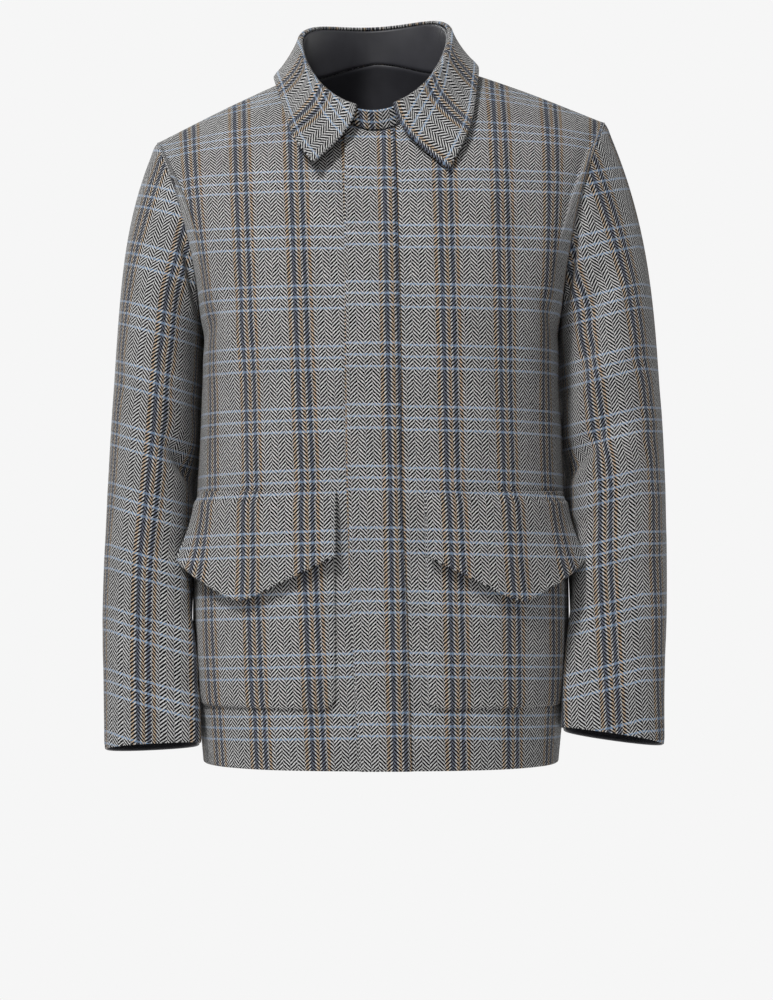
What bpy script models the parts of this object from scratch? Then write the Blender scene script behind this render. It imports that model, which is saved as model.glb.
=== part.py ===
"""A wool jacket with a covered zip front, as hollow cloth walls.

Metres, +Z up. The front faces -Y and +X is the jacket's own left. The origin is the middle of the neck,
level with the ends of the shoulder seams.
"""

from collections import namedtuple
from functools import partial

import bmesh
import bpy
import numpy as np

# Cloth and seams
WOOL = 0.0022
DOUBLED = 0.0030
TAPE = 0.0010
SEAM = 0.0003
LAP = 0.0005

# Body, from level rings
SQUARENESS = 2.5
BodyRing = namedtuple("BodyRing", "height half_width front back")
BODY_RINGS = (
    BodyRing(-0.722, 0.1855, -0.155, 0.126),
    BodyRing(-0.600, 0.1960, -0.157, 0.128),
    BodyRing(-0.450, 0.1925, -0.155, 0.112),
    BodyRing(-0.330, 0.1860, -0.152, 0.120),
)
HEM_Z = BODY_RINGS[0].height
CHEST_Z = BODY_RINGS[-1].height

# Shares of a panel's width, from the middle to the side seam
NECK_SHARE = 0.29
SHOULDER_SHARE = 0.66

# Shoulder line from the neck's middle, which sits a little to the right side, to the sleeve
ShoulderLine = namedtuple("ShoulderLine", "share shift out y z tilt")
SHOULDER_LINE = (
    ShoulderLine(0.00, -0.006, 0.0000, -0.0060, 0.0160, 0.0000),
    ShoulderLine(NECK_SHARE, -0.006, 0.0770, -0.0060, 0.0020, 0.0040),
    ShoulderLine(0.475, -0.003, 0.1515, 0.0005, -0.0255, 0.0072),
    ShoulderLine(SHOULDER_SHARE, 0.000, 0.2347, 0.0075, -0.0615, 0.0105),
)
NECK_X = SHOULDER_LINE[0].shift
NECK_TILT = SHOULDER_LINE[1].tilt
NAPE_Y = 0.046
NAPE_Z = 0.046
NECKLINE_FRONT = 0.725
NECKLINE_BACK = 0.885

# Collar fold, as a loop round the neck
Loop = namedtuple("Loop", "half_width front back front_z side_z back_z")
FOLD = Loop(0.0765, -0.087, 0.060, -0.050, 0.032, 0.052)

# Armhole
SHOULDER = SHOULDER_LINE[-1]
ARMPIT_X = 0.1875
ARMHOLE_FRONT = 0.072
ARMHOLE_BACK = 0.078
ARMPIT_Z = -0.262

# How steeply a panel reaches its top edge, in degrees
TopSlope = namedtuple("TopSlope", "share front back")
TOP_SLOPES = (
    TopSlope(0.00, 45, 55),
    TopSlope(0.29, 34, 43),
    TopSlope(0.48, 27, 33),
    TopSlope(0.66, 32, 34),
    TopSlope(0.80, 72, 74),
    TopSlope(1.00, 90, 90),
)

# Sleeve, from rings below the armhole; its inner side tucks in behind the body and laps over it in front
SleeveRing = namedtuple("SleeveRing", "height outer_left outer_right inner front back tuck lap")
SLEEVE_RINGS = (
    SleeveRing(-0.300, 0.2900, 0.2780, 0.1895, -0.076, 0.080, 0.014, 0.000),
    SleeveRing(-0.370, 0.2950, 0.2825, 0.1910, -0.078, 0.076, 0.017, 0.000),
    SleeveRing(-0.450, 0.2980, 0.2865, 0.1960, -0.079, 0.066, 0.017, 0.000),
    SleeveRing(-0.560, 0.2980, 0.2900, 0.1990, -0.083, 0.040, 0.011, 0.010),
    SleeveRing(-0.640, 0.2945, 0.2880, 0.1950, -0.089, 0.014, 0.004, 0.022),
    SleeveRing(-0.706, 0.2935, 0.2860, 0.1870, -0.094, -0.012, 0.000, 0.016),
)
SLEEVE_SQUARENESS = 2.2
SLEEVE_GIRTH = 0.36
INNER_SHIFT = 2.6
Cuff = namedtuple("Cuff", "height lean_out lean_back")
CUFF_LEFT = Cuff(-0.695, 0.14, 0.16)
CUFF_RIGHT = Cuff(-0.705, 0.05, 0.16)

# Largest sleeve folds: turn and slope in degrees, the rest in metres, depth outward
Fold = namedtuple("Fold", "turn height slope half_length half_width depth")
FOLDS_RIGHT = (
    Fold(126, -0.398, -40, 0.052, 0.016, -0.0050),
    Fold(112, -0.350, -42, 0.052, 0.018, 0.0030),
    Fold(116, -0.446, -36, 0.055, 0.018, 0.0032),
    Fold(250, -0.450, -20, 0.070, 0.018, -0.0035),
)
FOLDS_LEFT = (
    Fold(98, -0.240, -62, 0.040, 0.014, -0.0040),
    Fold(124, -0.390, -26, 0.052, 0.016, -0.0050),
    Fold(110, -0.434, -28, 0.055, 0.018, 0.0032),
    Fold(255, -0.440, -22, 0.070, 0.018, -0.0035),
)

# Closing of the front: the placket's free and sewn edges
Closing = namedtuple("Closing", "height free sewn")
CLOSINGS = (
    Closing(-0.722, -0.021, 0.032),
    Closing(-0.560, -0.030, 0.027),
    Closing(-0.450, -0.034, 0.022),
    Closing(-0.330, -0.036, 0.021),
)
PLACKET_LAP = 0.0011
PLACKET_TRIM = 0.09
ZIP_TRIM = 0.40
FRONT_EDGE = 0.0037
CHAIN_HALF = 0.0028
CHAIN_DEEP = 0.0030
TAPE_WIDTH = 0.0140

# Patch pockets and flaps, placed along the panel from the front middle
POCKET_INNER = 0.045
POCKET_OUTER = 0.222
POCKET_TOP = -0.452
POCKET_BOTTOM = -0.660
POCKET_CORNER = 0.008
POCKET_LAP = 0.0010
FLAP_TOP = -0.440
FLAP_ROOT = 0.010
FLAP_SIDE = 0.068
FLAP_TIP = 0.111
FLAP_FLARE = 0.009
FLAP_CORNER_FLARE = 0.009

# Collar leaf: its outer edge, by the turn of the fold above it
LEAF_END = 13
LEAF_ROLL = 0.0050
STAND_LAP = 0.0036
STAND_RISE = 0.0016
STAND_OVER = (-17, -13, -8, -2.6)
STAND_UNDER = (352, 356)
LeafEdge = namedtuple("LeafEdge", "turn x y z")
LEAF_LEFT = (
    LeafEdge(13, 0.0755, -0.119, -0.1130),
    LeafEdge(30, 0.0910, -0.105, -0.0830),
    LeafEdge(48, 0.1000, -0.085, -0.0590),
    LeafEdge(68, 0.1060, -0.048, -0.0240),
    LeafEdge(90, 0.1090, -0.004, 0.0045),
    LeafEdge(135, 0.0800, 0.074, -0.0060),
    LeafEdge(180, 0.0000, 0.106, -0.0120),
)
LEAF_RIGHT = (
    LeafEdge(13, 0.0625, -0.128, -0.1070),
    LeafEdge(30, 0.0810, -0.115, -0.0820),
    LeafEdge(48, 0.0910, -0.092, -0.0560),
    LeafEdge(68, 0.1010, -0.050, -0.0260),
    LeafEdge(90, 0.1070, -0.004, -0.0060),
    LeafEdge(135, 0.0800, 0.074, -0.0100),
    LeafEdge(180, 0.0000, 0.106, -0.0120),
)

# Finishes
WOOL_COLOUR = (0.17, 0.165, 0.16, 1.0)
TAPE_COLOUR = (0.02, 0.02, 0.024, 1.0)
METAL_COLOUR = (0.32, 0.31, 0.29, 1.0)

# Rows and columns of the panels
RISE = np.linspace(0.0, 1.0, 9)[1:]
LEVELS = np.concatenate((
    [HEM_Z],
    np.linspace(POCKET_BOTTOM, POCKET_TOP, 5),
    np.linspace(POCKET_TOP, CHEST_Z, 4)[1:],
))
NECK_TURNS = np.radians((LEAF_END, 23, 34, 48, 62, 76, 90))
BACK_NECK_TURNS = np.radians((0, 15, 30, 45, 60, 75, 90))
LEFT_TURNS = np.concatenate((NECK_TURNS, np.pi - BACK_NECK_TURNS[-2::-1]))
COLLAR_TURNS = np.concatenate((LEFT_TURNS, 2 * np.pi - LEFT_TURNS[-2::-1]))
UP = np.array((0.0, 0.0, 1.0))


def smooth(table, column, at):
    """A smooth curve through one column of a table, whose first column gives the stations."""
    stations = np.array([row[0] for row in table], float)
    values = np.array([getattr(row, column) for row in table], float)
    slopes = np.gradient(values, stations)
    at = np.clip(np.asarray(at, float), stations[0], stations[-1])
    cell = np.clip(np.searchsorted(stations, at, side="right") - 1, 0, len(stations) - 2)
    width = stations[cell + 1] - stations[cell]
    f = (at - stations[cell]) / width
    start = (1 + 2 * f) * (1 - f) ** 2 * values[cell] + f * (1 - f) ** 2 * width * slopes[cell]
    end = f * f * (3 - 2 * f) * values[cell + 1] + f * f * (f - 1) * width * slopes[cell + 1]
    return start + end


def ease(f):
    """A soft step from 0 to 1."""
    f = np.clip(f, 0.0, 1.0)
    return f * f * (3 - 2 * f)


def unit(vectors):
    return vectors / np.linalg.norm(vectors, axis=-1, keepdims=True)


def points(x, y, z):
    return np.stack(np.broadcast_arrays(x, y, z), axis=-1).astype(float)


def bezier(start, leave, arrive, end, f):
    return (start * (1 - f) ** 3 + leave * 3 * f * (1 - f) ** 2
            + arrive * 3 * f * f * (1 - f) + end * f ** 3)


def quarter(half_width, depth):
    """A quarter of a ring, from the middle to the side, with the length along it."""
    angle = np.linspace(0.0, np.pi / 2, 400)
    x = half_width * np.sin(angle) ** (2 / SQUARENESS)
    y = depth * np.cos(angle) ** (2 / SQUARENESS)
    length = np.concatenate(([0.0], np.cumsum(np.hypot(np.diff(x), np.diff(y)))))
    return x, y, length


def panel_length(height, face):
    return quarter(smooth(BODY_RINGS, "half_width", height), abs(smooth(BODY_RINGS, face, height)))[2][-1]


def ring(height, share, face):
    """Points of a level ring at signed shares of the panel, on the front or the back."""
    depth = smooth(BODY_RINGS, face, height)
    x, y, length = quarter(smooth(BODY_RINGS, "half_width", height), abs(depth))
    along = np.abs(share) * length[-1]
    side_x = np.sign(share) * np.interp(along, length, x)
    side_y = np.sign(depth) * np.interp(along, length, y)
    return points(side_x, side_y, height)


def loop(size, turn):
    """A neck loop: turn 0 at the front, a quarter turn at the left side."""
    c = np.cos(turn)
    swing = (size.front_z - size.back_z) / 2
    level = (size.front_z + size.back_z) / 2
    base = (level + size.side_z) / 2
    y = (size.front + size.back) / 2 + (size.front - size.back) / 2 * c
    z = base + swing * c + (level - base) * np.cos(2 * turn) + NECK_TILT * np.sin(turn)
    return points(NECK_X + size.half_width * np.sin(turn), y, z)


def away(turn):
    """Level direction away from the neck."""
    return points(np.sin(turn), -np.cos(turn), 0.0)


def armhole(turn, side):
    """The armhole seam: turn 0 at the shoulder, a quarter turn at the front, half a turn at the armpit."""
    height = SHOULDER.z + side * SHOULDER.tilt - ARMPIT_Z
    z = ARMPIT_Z + height * (1 + np.cos(turn)) / 2
    depth = np.where(np.sin(turn) > 0, ARMHOLE_FRONT, ARMHOLE_BACK)
    x = ARMPIT_X + (SHOULDER.out - ARMPIT_X) * np.maximum((z - ARMPIT_Z) / height, 0.0) ** 1.8
    return points(side * x, SHOULDER.y - depth * np.sin(turn), z)


def armhole_outward(turn, side):
    return points(side * 0.2 * np.cos(turn), -np.sin(turn), 0.98 * np.cos(turn))


def panel_top(share, face):
    """Where a panel's columns lead: the shoulder line, carried on across the neck, or the armhole."""
    size = np.abs(share)
    side = np.where(share < 0, -1.0, 1.0)
    arm = np.pi * np.clip((size - SHOULDER_SHARE) / (1 - SHOULDER_SHARE), 0.0, 1.0)
    shift, out, y, z, tilt = (smooth(SHOULDER_LINE, c, size) for c in SHOULDER_LINE[0]._fields[1:])
    if face == "back":
        arm = -arm
        nape = np.clip(1 - (size / NECK_SHARE) ** 2, 0.0, 1.0) ** 1.5
        y = y + NAPE_Y * nape + SEAM / 2
        z = z + NAPE_Z * nape
    else:
        y = y - SEAM / 2
    line = points(shift + side * out, y, z + side * tilt)
    return np.where((size > SHOULDER_SHARE)[:, None], armhole(arm, side), line)


def top_outward(share, face):
    """Directions out of the cloth along the neckline, shoulder seam and armhole."""
    size = np.abs(share)
    side = np.where(share < 0, -1.0, 1.0)
    turn = side * np.arcsin(np.clip(size / NECK_SHARE, 0.0, 1.0))
    arm = np.pi * np.clip((size - SHOULDER_SHARE) / (1 - SHOULDER_SHARE), 0.0, 1.0)
    if face == "back":
        turn = side * np.pi - turn
        arm = -arm
    seam = unit(points(side * 0.45, 0.0, 1.0))
    neck = unit(away(turn) + UP)
    outward = np.where((size > SHOULDER_SHARE)[:, None], armhole_outward(arm, side), seam)
    return np.where((size < NECK_SHARE)[:, None], neck, outward)


def panel_curve(share, rise, face):
    """Points between the chest and the top of a panel, which the neckline trims at the middle."""
    chest = ring(CHEST_Z, share, face)
    top = panel_top(share, face)
    steep = np.radians(smooth(TOP_SLOPES, face, np.abs(share)))
    reach = 0.40 * np.linalg.norm(top - chest, axis=-1)[:, None]
    inward = 1.0 if face == "front" else -1.0
    drift = (top - chest) * np.array((1.0, 0.0, 0.0))
    near_arm = ease((np.abs(share) - 0.55) / 0.2)[:, None]
    leave = chest + reach * UP + 0.2 * (1 - near_arm) * drift
    climb = points(0.0, inward * np.cos(steep), np.sin(steep))
    arrive = top - reach * climb - (0.3 + 0.42 * near_arm) * drift
    neckline = NECKLINE_FRONT if face == "front" else NECKLINE_BACK
    trim = 1 - (1 - neckline) * np.clip(1 - (share / NECK_SHARE) ** 2, 0.0, 1.0) ** 0.7
    return bezier(chest, leave, arrive, top, (rise * trim)[:, None])


def panel_row(share, row, face):
    """One row of a panel: a level ring up to the chest, then curves that rise to the top edge."""
    if row < len(LEVELS):
        return ring(LEVELS[row], share, face)
    return panel_curve(share, RISE[row - len(LEVELS)], face)


def neck_edge(turn):
    """The neckline on the front and back panels."""
    share = NECK_SHARE * np.sin(turn)
    ahead = (np.cos(turn) >= 0)[:, None]
    return np.where(ahead, panel_curve(share, 1.0, "front"), panel_curve(share, 1.0, "back"))


ROWS = range(len(LEVELS) + len(RISE))


def row_height(row):
    return LEVELS[row] if row < len(LEVELS) else CHEST_Z


def front_share(distance, row):
    """The share of a front panel at a distance from its middle."""
    return distance / panel_length(row_height(row), "front")


def outward_of(grid, closed=False):
    """Directions out of a grid of points, from its rows and columns."""
    if closed:
        across = np.roll(grid, -1, axis=1) - np.roll(grid, 1, axis=1)
    else:
        across = np.gradient(grid, axis=1)
    return unit(np.cross(across, np.gradient(grid, axis=0)))


def finish(name, colour, metallic=0.0, roughness=0.9):
    material = bpy.data.materials.new(name)
    material.use_nodes = True
    shader = material.node_tree.nodes["Principled BSDF"]
    shader.inputs["Base Color"].default_value = colour
    shader.inputs["Metallic"].default_value = metallic
    shader.inputs["Roughness"].default_value = roughness
    return material


def wall(name, outside, outward, thickness, material, closed=False):
    """A cloth wall: outside points, the inside one thickness in, and the rims between them."""
    rows, columns = outside.shape[:2]
    bm = bmesh.new()
    out, inner = (
        [[bm.verts.new(p) for p in row] for row in skin]
        for skin in (outside, outside - thickness * outward)
    )
    spans = [(c, (c + 1) % columns) for c in range(columns if closed else columns - 1)]
    for r in range(rows - 1):
        for c, d in spans:
            bm.faces.new((out[r][c], out[r][d], out[r + 1][d], out[r + 1][c]))
            bm.faces.new((inner[r][c], inner[r + 1][c], inner[r + 1][d], inner[r][d]))
        if not closed:
            for c in (0, columns - 1):
                bm.faces.new((out[r][c], out[r + 1][c], inner[r + 1][c], inner[r][c]))
    for r in (0, rows - 1):
        for c, d in spans:
            bm.faces.new((out[r][c], out[r][d], inner[r][d], inner[r][c]))
    bmesh.ops.recalc_face_normals(bm, faces=bm.faces)
    mesh = bpy.data.meshes.new(name)
    bm.to_mesh(mesh)
    bm.free()
    mesh.materials.append(material)
    bpy.context.collection.objects.link(bpy.data.objects.new(name, mesh))


def closing_middle(row):
    height = row_height(row)
    return (smooth(CLOSINGS, "free", height) + smooth(CLOSINGS, "sewn", height)) / 2


def front_columns(side, row):
    """Signed shares of a front's columns, from the zip to the side seam."""
    length = panel_length(row_height(row), "front")
    edge = (side * closing_middle(row) + FRONT_EDGE) / length
    seam = 1 - SEAM / 2 / length
    return side * np.concatenate((
        [edge],
        NECK_SHARE * np.sin(NECK_TURNS[:-1]),
        np.linspace(NECK_SHARE, SHOULDER_SHARE, 7)[:-1],
        np.linspace(SHOULDER_SHARE, seam, 10),
    ))


def panel(name, rows_of_shares, face, material):
    grid = np.array([panel_row(share, row, face) for row, share in enumerate(rows_of_shares)])
    outward = outward_of(grid)
    outward[-1] = top_outward(rows_of_shares[-1], face)
    for column in (0, -1):
        if abs(rows_of_shares[0][column]) > 0.9:
            outward[:, column] = points(np.sign(rows_of_shares[0][column]), 0.0, 0.0)
    wall(name, grid, outward, WOOL, material)


def front(side):
    """Columns run towards +X, so that the rows and columns face out."""
    return [front_columns(side, row)[::side] for row in ROWS]


def back_columns(row):
    length = panel_length(row_height(row), "back")
    half = np.concatenate((
        NECK_SHARE * np.sin(BACK_NECK_TURNS[:-1]),
        np.linspace(NECK_SHARE, SHOULDER_SHARE, 7)[:-1],
        np.linspace(SHOULDER_SHARE, 1 - SEAM / 2 / length, 10),
    ))
    return np.concatenate((half[::-1], -half[1:]))


def fold_depth(folds, turn, height):
    """Outward movement of the cloth at the folds of a sleeve."""
    depth = np.zeros(np.broadcast(turn, height).shape)
    for fold in folds:
        slope = np.radians(fold.slope)
        around = (turn - np.radians(fold.turn)) / (2 * np.pi) * SLEEVE_GIRTH
        rise = height - fold.height
        along = around * np.cos(slope) + rise * np.sin(slope)
        across = rise * np.cos(slope) - around * np.sin(slope)
        depth += fold.depth * np.exp(-(along / fold.half_length) ** 2 - (across / fold.half_width) ** 2)
    return depth


def sleeve_ring(height, turn, side):
    """A ring of the arm: turn 0 outside, a quarter turn at the front."""
    table = SLEEVE_RINGS[::-1]
    cuff = CUFF_LEFT if side > 0 else CUFF_RIGHT
    outer = smooth(table, "outer_left" if side > 0 else "outer_right", height)
    inner, ahead, behind, tuck, lap = (smooth(table, c, height) for c in table[0]._fields[3:])
    c = np.cos(turn)
    s = np.sin(turn)
    x = (outer - inner) / 2 * np.sign(c) * np.abs(c) ** (2 / SLEEVE_SQUARENESS)
    x = x - INNER_SHIFT * np.maximum(-c, 0.0) * np.where(s < 0, tuck, lap) * s ** 2
    y = (ahead - behind) / 2 * np.sign(s) * np.abs(s) ** (2 / SLEEVE_SQUARENESS)
    lean = ease((SLEEVE_RINGS[2].height - height) / (SLEEVE_RINGS[2].height - cuff.height))
    z = height - lean * (cuff.lean_out * x + cuff.lean_back * y)
    return points(side * ((outer + inner) / 2 + x), (ahead + behind) / 2 + y, z)


def sleeve(name, side, folds, material):
    turn = np.linspace(0.0, 2 * np.pi, 18, endpoint=False)
    away_from_body = np.array((0.98 * side, 0.0, -0.2))
    seam = armhole(turn, side) + SEAM * away_from_body
    bicep = sleeve_ring(SLEEVE_RINGS[0].height, turn, side)
    reach = 0.36 * np.linalg.norm(bicep - seam, axis=-1)[:, None]
    leave = seam + reach * np.array((0.41 * side, 0.0, -0.91))
    arrive = bicep + reach * np.array((-0.07 * side, 0.0, 1.0))
    cap = [bezier(seam, leave, arrive, bicep, f) for f in np.linspace(0.0, 1.0, 7)[:-1]]
    end = CUFF_LEFT.height if side > 0 else CUFF_RIGHT.height
    arm = [sleeve_ring(h, turn, side) for h in np.linspace(SLEEVE_RINGS[0].height, end, 13)]
    grid = np.array(cap + arm)
    outward = side * outward_of(grid, closed=True)
    fade = ease(np.linspace(0.0, 3.0, len(grid)))[:, None]
    grid += (fade * fold_depth(folds, turn[None, :], grid[..., 2]))[..., None] * outward
    outward = side * outward_of(grid, closed=True)
    outward[0] = armhole_outward(turn, side)
    wall(name, grid, outward, WOOL, material, closed=True)


def strip(name, edges, outer_lift, thickness, top_trim, material):
    """A strip along the closing: its outside stands off the front panels by a lift."""
    grid = []
    for row in ROWS:
        start, end = edges(row)
        grid.append(panel_row(front_share(np.linspace(start, end, 7), row), row, "front"))
    grid = np.array(grid)
    outward = outward_of(grid)
    grid[-1] += (grid[-2] - grid[-1]) * top_trim
    wall(name, grid + outer_lift * outward, outward, thickness, material)


def placket_edges(row):
    height = row_height(row)
    return smooth(CLOSINGS, "free", height), smooth(CLOSINGS, "sewn", height)


def chain_edges(row):
    middle = closing_middle(row)
    return middle - CHAIN_HALF, middle + CHAIN_HALF


def tape_edges(side, row):
    near = closing_middle(row) + side * (CHAIN_HALF + SEAM)
    far = near + side * TAPE_WIDTH
    return min(near, far), max(near, far)


def pocket(name, side, material):
    distances = np.linspace(POCKET_INNER, POCKET_OUTER, 12)
    across = np.linspace(0.0, 1.0, len(distances))
    corner = POCKET_CORNER * np.maximum(ease(1 - across / 0.06), ease((across - 0.94) / 0.06))
    grid = []
    for f in np.linspace(0.0, 1.0, 5):
        height = POCKET_BOTTOM + (POCKET_TOP - POCKET_BOTTOM) * f
        row = ring(height, side * distances / panel_length(height, "front"), "front")
        row[:, 2] += corner * (1 - f) ** 3
        grid.append(row)
    grid = np.array(grid)
    outward = side * outward_of(grid)
    wall(name, grid + (POCKET_LAP + DOUBLED) * outward, outward, DOUBLED, material)


def flap(name, side, material):
    distances = np.linspace(POCKET_INNER - 0.001, POCKET_OUTER + 0.004, 13)
    across = np.linspace(0.0, 1.0, len(distances))
    ramp = 1 - np.sqrt(((across - 0.53) / 0.5) ** 2 + 0.012)
    depth = FLAP_SIDE + (FLAP_TIP - FLAP_SIDE) * np.clip(ramp / 0.89, 0.0, 1.0)
    depth -= 0.010 * np.maximum(ease(1 - across / 0.07), ease((across - 0.93) / 0.07))
    grid = []
    lifts = []
    root = [np.full(len(depth), FLAP_ROOT * f) for f in (0.0, 0.5)]
    for below in root + [FLAP_ROOT + (depth - FLAP_ROOT) * f for f in (0.0, 0.20, 0.45, 0.70, 1.0)]:
        drop = below / depth
        heights = FLAP_TOP - below
        share = side * distances / np.array([panel_length(h, "front") for h in heights])
        row = [ring(h, np.array([s]), "front")[0] for h, s in zip(heights, share)]
        grid.append(row)
        over_pocket = (DOUBLED + POCKET_LAP + LAP) * ease((below / FLAP_ROOT - 0.4) / 0.6)
        flare = (FLAP_FLARE + FLAP_CORNER_FLARE * ease((across - 0.6) / 0.4)) * drop ** 2
        lifts.append(LAP + DOUBLED + over_pocket + flare)
    grid = np.array(grid)
    outward = -side * outward_of(grid)
    wall(name, grid + np.array(lifts)[..., None] * outward, outward, DOUBLED, material)


def stand(name, material):
    """The collar stand, whose left end laps over its right end at the front."""
    turn = np.concatenate((np.radians(STAND_OVER), COLLAR_TURNS, np.radians(STAND_UNDER)))
    over = ease((34 - np.degrees(turn)) / 24)[:, None]
    out = away(turn)
    base = neck_edge(turn) + 1.3 * SEAM * unit(UP - out) + 4 * over * (1 - over) * STAND_RISE * UP
    top = loop(FOLD, turn)
    grid = np.array([base * (1 - f) + top * f for f in np.linspace(0.0, 1.0, 4)])
    outward = outward_of(grid)
    outward[0] = unit(out + (1 - over) * UP)
    grid += STAND_LAP * over * out
    wall(name, grid, outward, WOOL, material)


def leaf_edge(turn):
    """The leaf's outer edge: the left half, then the right half back to the front."""
    degrees = np.degrees(turn)
    left = [smooth(LEAF_LEFT, c, degrees) for c in ("x", "y", "z")]
    right = [smooth(LEAF_RIGHT, c, 360 - degrees) for c in ("x", "y", "z")]
    on_left = degrees <= 180
    x = np.where(on_left, left[0], -right[0])
    return points(NECK_X + x, np.where(on_left, left[1], right[1]), np.where(on_left, left[2], right[2]))


def leaf(name, material):
    """The collar leaf, which rolls over the stand's top edge and falls to its outer edge."""
    turn = COLLAR_TURNS
    out = away(turn)
    ahead = ease((np.cos(turn)[:, None] - 0.2) / 0.6)
    fold = loop(FOLD, turn) + ahead * STAND_LAP * out
    crown = fold + (2 * SEAM + DOUBLED + ahead * SEAM * 2) * UP - 0.0010 * out
    roll = fold + LEAF_ROLL * out + (LEAF_ROLL / 2 + ahead * SEAM * 2) * UP
    edge = leaf_edge(turn)
    span = np.linalg.norm(edge - roll, axis=-1)[:, None]
    leave = roll + 0.30 * span * unit(0.35 * out - UP)
    arrive = edge - 0.35 * span * unit(edge - leave)
    rows = [bezier(roll, leave, arrive, edge, f) for f in np.linspace(0.0, 1.0, 6)]
    grid = np.array([crown] + rows)[::-1]
    outward = outward_of(grid)
    outward[-1] = UP
    wall(name, grid, outward, DOUBLED, material)


def build():
    for item in list(bpy.data.objects):
        bpy.data.objects.remove(item, do_unlink=True)
    wool = finish("wool", WOOL_COLOUR)
    tape = finish("zip_tape", TAPE_COLOUR, roughness=0.8)
    metal = finish("zip_metal", METAL_COLOUR, metallic=1.0, roughness=0.4)
    panel("front_right", front(-1), "front", wool)
    panel("front_left", front(1), "front", wool)
    panel("back", [back_columns(row) for row in ROWS], "back", wool)
    sleeve("sleeve_right", -1, FOLDS_RIGHT, wool)
    sleeve("sleeve_left", 1, FOLDS_LEFT, wool)
    stand("collar_stand", wool)
    leaf("collar_leaf", wool)
    strip("placket", placket_edges, PLACKET_LAP + DOUBLED, DOUBLED, PLACKET_TRIM, wool)
    strip("zip_chain", chain_edges, -SEAM, CHAIN_DEEP, ZIP_TRIM, metal)
    for side, name in ((-1, "right"), (1, "left")):
        strip("zip_tape_" + name, partial(tape_edges, side), -WOOL - 2 * SEAM, TAPE, ZIP_TRIM, tape)
        pocket("pocket_" + name, side, wool)
        flap("flap_" + name, side, wool)


build()
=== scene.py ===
"""The worn wool jacket as it looks: herringbone cloth with an overcheck, folds, sewing and zip teeth.

Metres, +Z up. The front faces -Y and +X is the jacket's own left. The surfaces repeat the part's own sizes.
"""

from collections import namedtuple
from functools import partial

import bmesh
import bpy
import numpy as np
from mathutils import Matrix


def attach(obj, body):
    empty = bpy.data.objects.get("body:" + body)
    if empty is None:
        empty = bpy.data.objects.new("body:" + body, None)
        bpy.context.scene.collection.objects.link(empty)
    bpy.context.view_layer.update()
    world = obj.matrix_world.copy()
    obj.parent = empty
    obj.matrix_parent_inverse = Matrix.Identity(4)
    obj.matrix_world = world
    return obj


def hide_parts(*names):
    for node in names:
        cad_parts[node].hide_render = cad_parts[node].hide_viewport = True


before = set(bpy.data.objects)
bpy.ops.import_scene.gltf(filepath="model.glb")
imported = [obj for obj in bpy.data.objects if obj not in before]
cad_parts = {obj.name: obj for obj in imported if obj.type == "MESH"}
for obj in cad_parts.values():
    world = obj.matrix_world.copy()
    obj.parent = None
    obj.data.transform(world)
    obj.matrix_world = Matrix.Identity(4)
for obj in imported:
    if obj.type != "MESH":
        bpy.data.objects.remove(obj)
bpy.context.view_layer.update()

# Cloth and seams
WOOL = 0.0022
DOUBLED = 0.0030
TAPE = 0.0010
SEAM = 0.0003
LAP = 0.0005
SEAM_SINK = 0.0011
SEAM_SINK_WIDTH = 0.0032
SEAM_STAND = 0.0005
SEAM_STAND_AWAY = 0.009
SEAM_STAND_WIDTH = 0.005
RIM_ROUND = 0.38

# Body, from level rings
SQUARENESS = 2.5
BodyRing = namedtuple("BodyRing", "height half_width front back")
BODY_RINGS = (
    BodyRing(-0.722, 0.1855, -0.155, 0.126),
    BodyRing(-0.600, 0.1960, -0.157, 0.128),
    BodyRing(-0.450, 0.1925, -0.155, 0.112),
    BodyRing(-0.330, 0.1860, -0.152, 0.120),
)
HEM_Z = BODY_RINGS[0].height
CHEST_Z = BODY_RINGS[-1].height

# Shares of a panel's width, from the middle to the side seam
NECK_SHARE = 0.29
SHOULDER_SHARE = 0.66

# Shoulder line from the neck's middle, which sits a little to the right side, to the sleeve
ShoulderLine = namedtuple("ShoulderLine", "share shift out y z tilt")
SHOULDER_LINE = (
    ShoulderLine(0.00, -0.006, 0.0000, -0.0060, 0.0160, 0.0000),
    ShoulderLine(NECK_SHARE, -0.006, 0.0770, -0.0060, 0.0020, 0.0040),
    ShoulderLine(0.475, -0.003, 0.1515, 0.0005, -0.0255, 0.0072),
    ShoulderLine(SHOULDER_SHARE, 0.000, 0.2347, 0.0075, -0.0615, 0.0105),
)
NECK_X = SHOULDER_LINE[0].shift
NECK_TILT = SHOULDER_LINE[1].tilt
NAPE_Y = 0.046
NAPE_Z = 0.046
NECKLINE_FRONT = 0.725
NECKLINE_BACK = 0.885

# Collar fold, as a loop round the neck
Loop = namedtuple("Loop", "half_width front back front_z side_z back_z")
FOLD = Loop(0.0765, -0.087, 0.060, -0.050, 0.032, 0.052)

# Armhole
SHOULDER = SHOULDER_LINE[-1]
ARMPIT_X = 0.1875
ARMHOLE_FRONT = 0.072
ARMHOLE_BACK = 0.078
ARMPIT_Z = -0.262

# How steeply a panel reaches its top edge, in degrees
TopSlope = namedtuple("TopSlope", "share front back")
TOP_SLOPES = (
    TopSlope(0.00, 45, 55),
    TopSlope(0.29, 34, 43),
    TopSlope(0.48, 27, 33),
    TopSlope(0.66, 32, 34),
    TopSlope(0.80, 72, 74),
    TopSlope(1.00, 90, 90),
)

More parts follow.
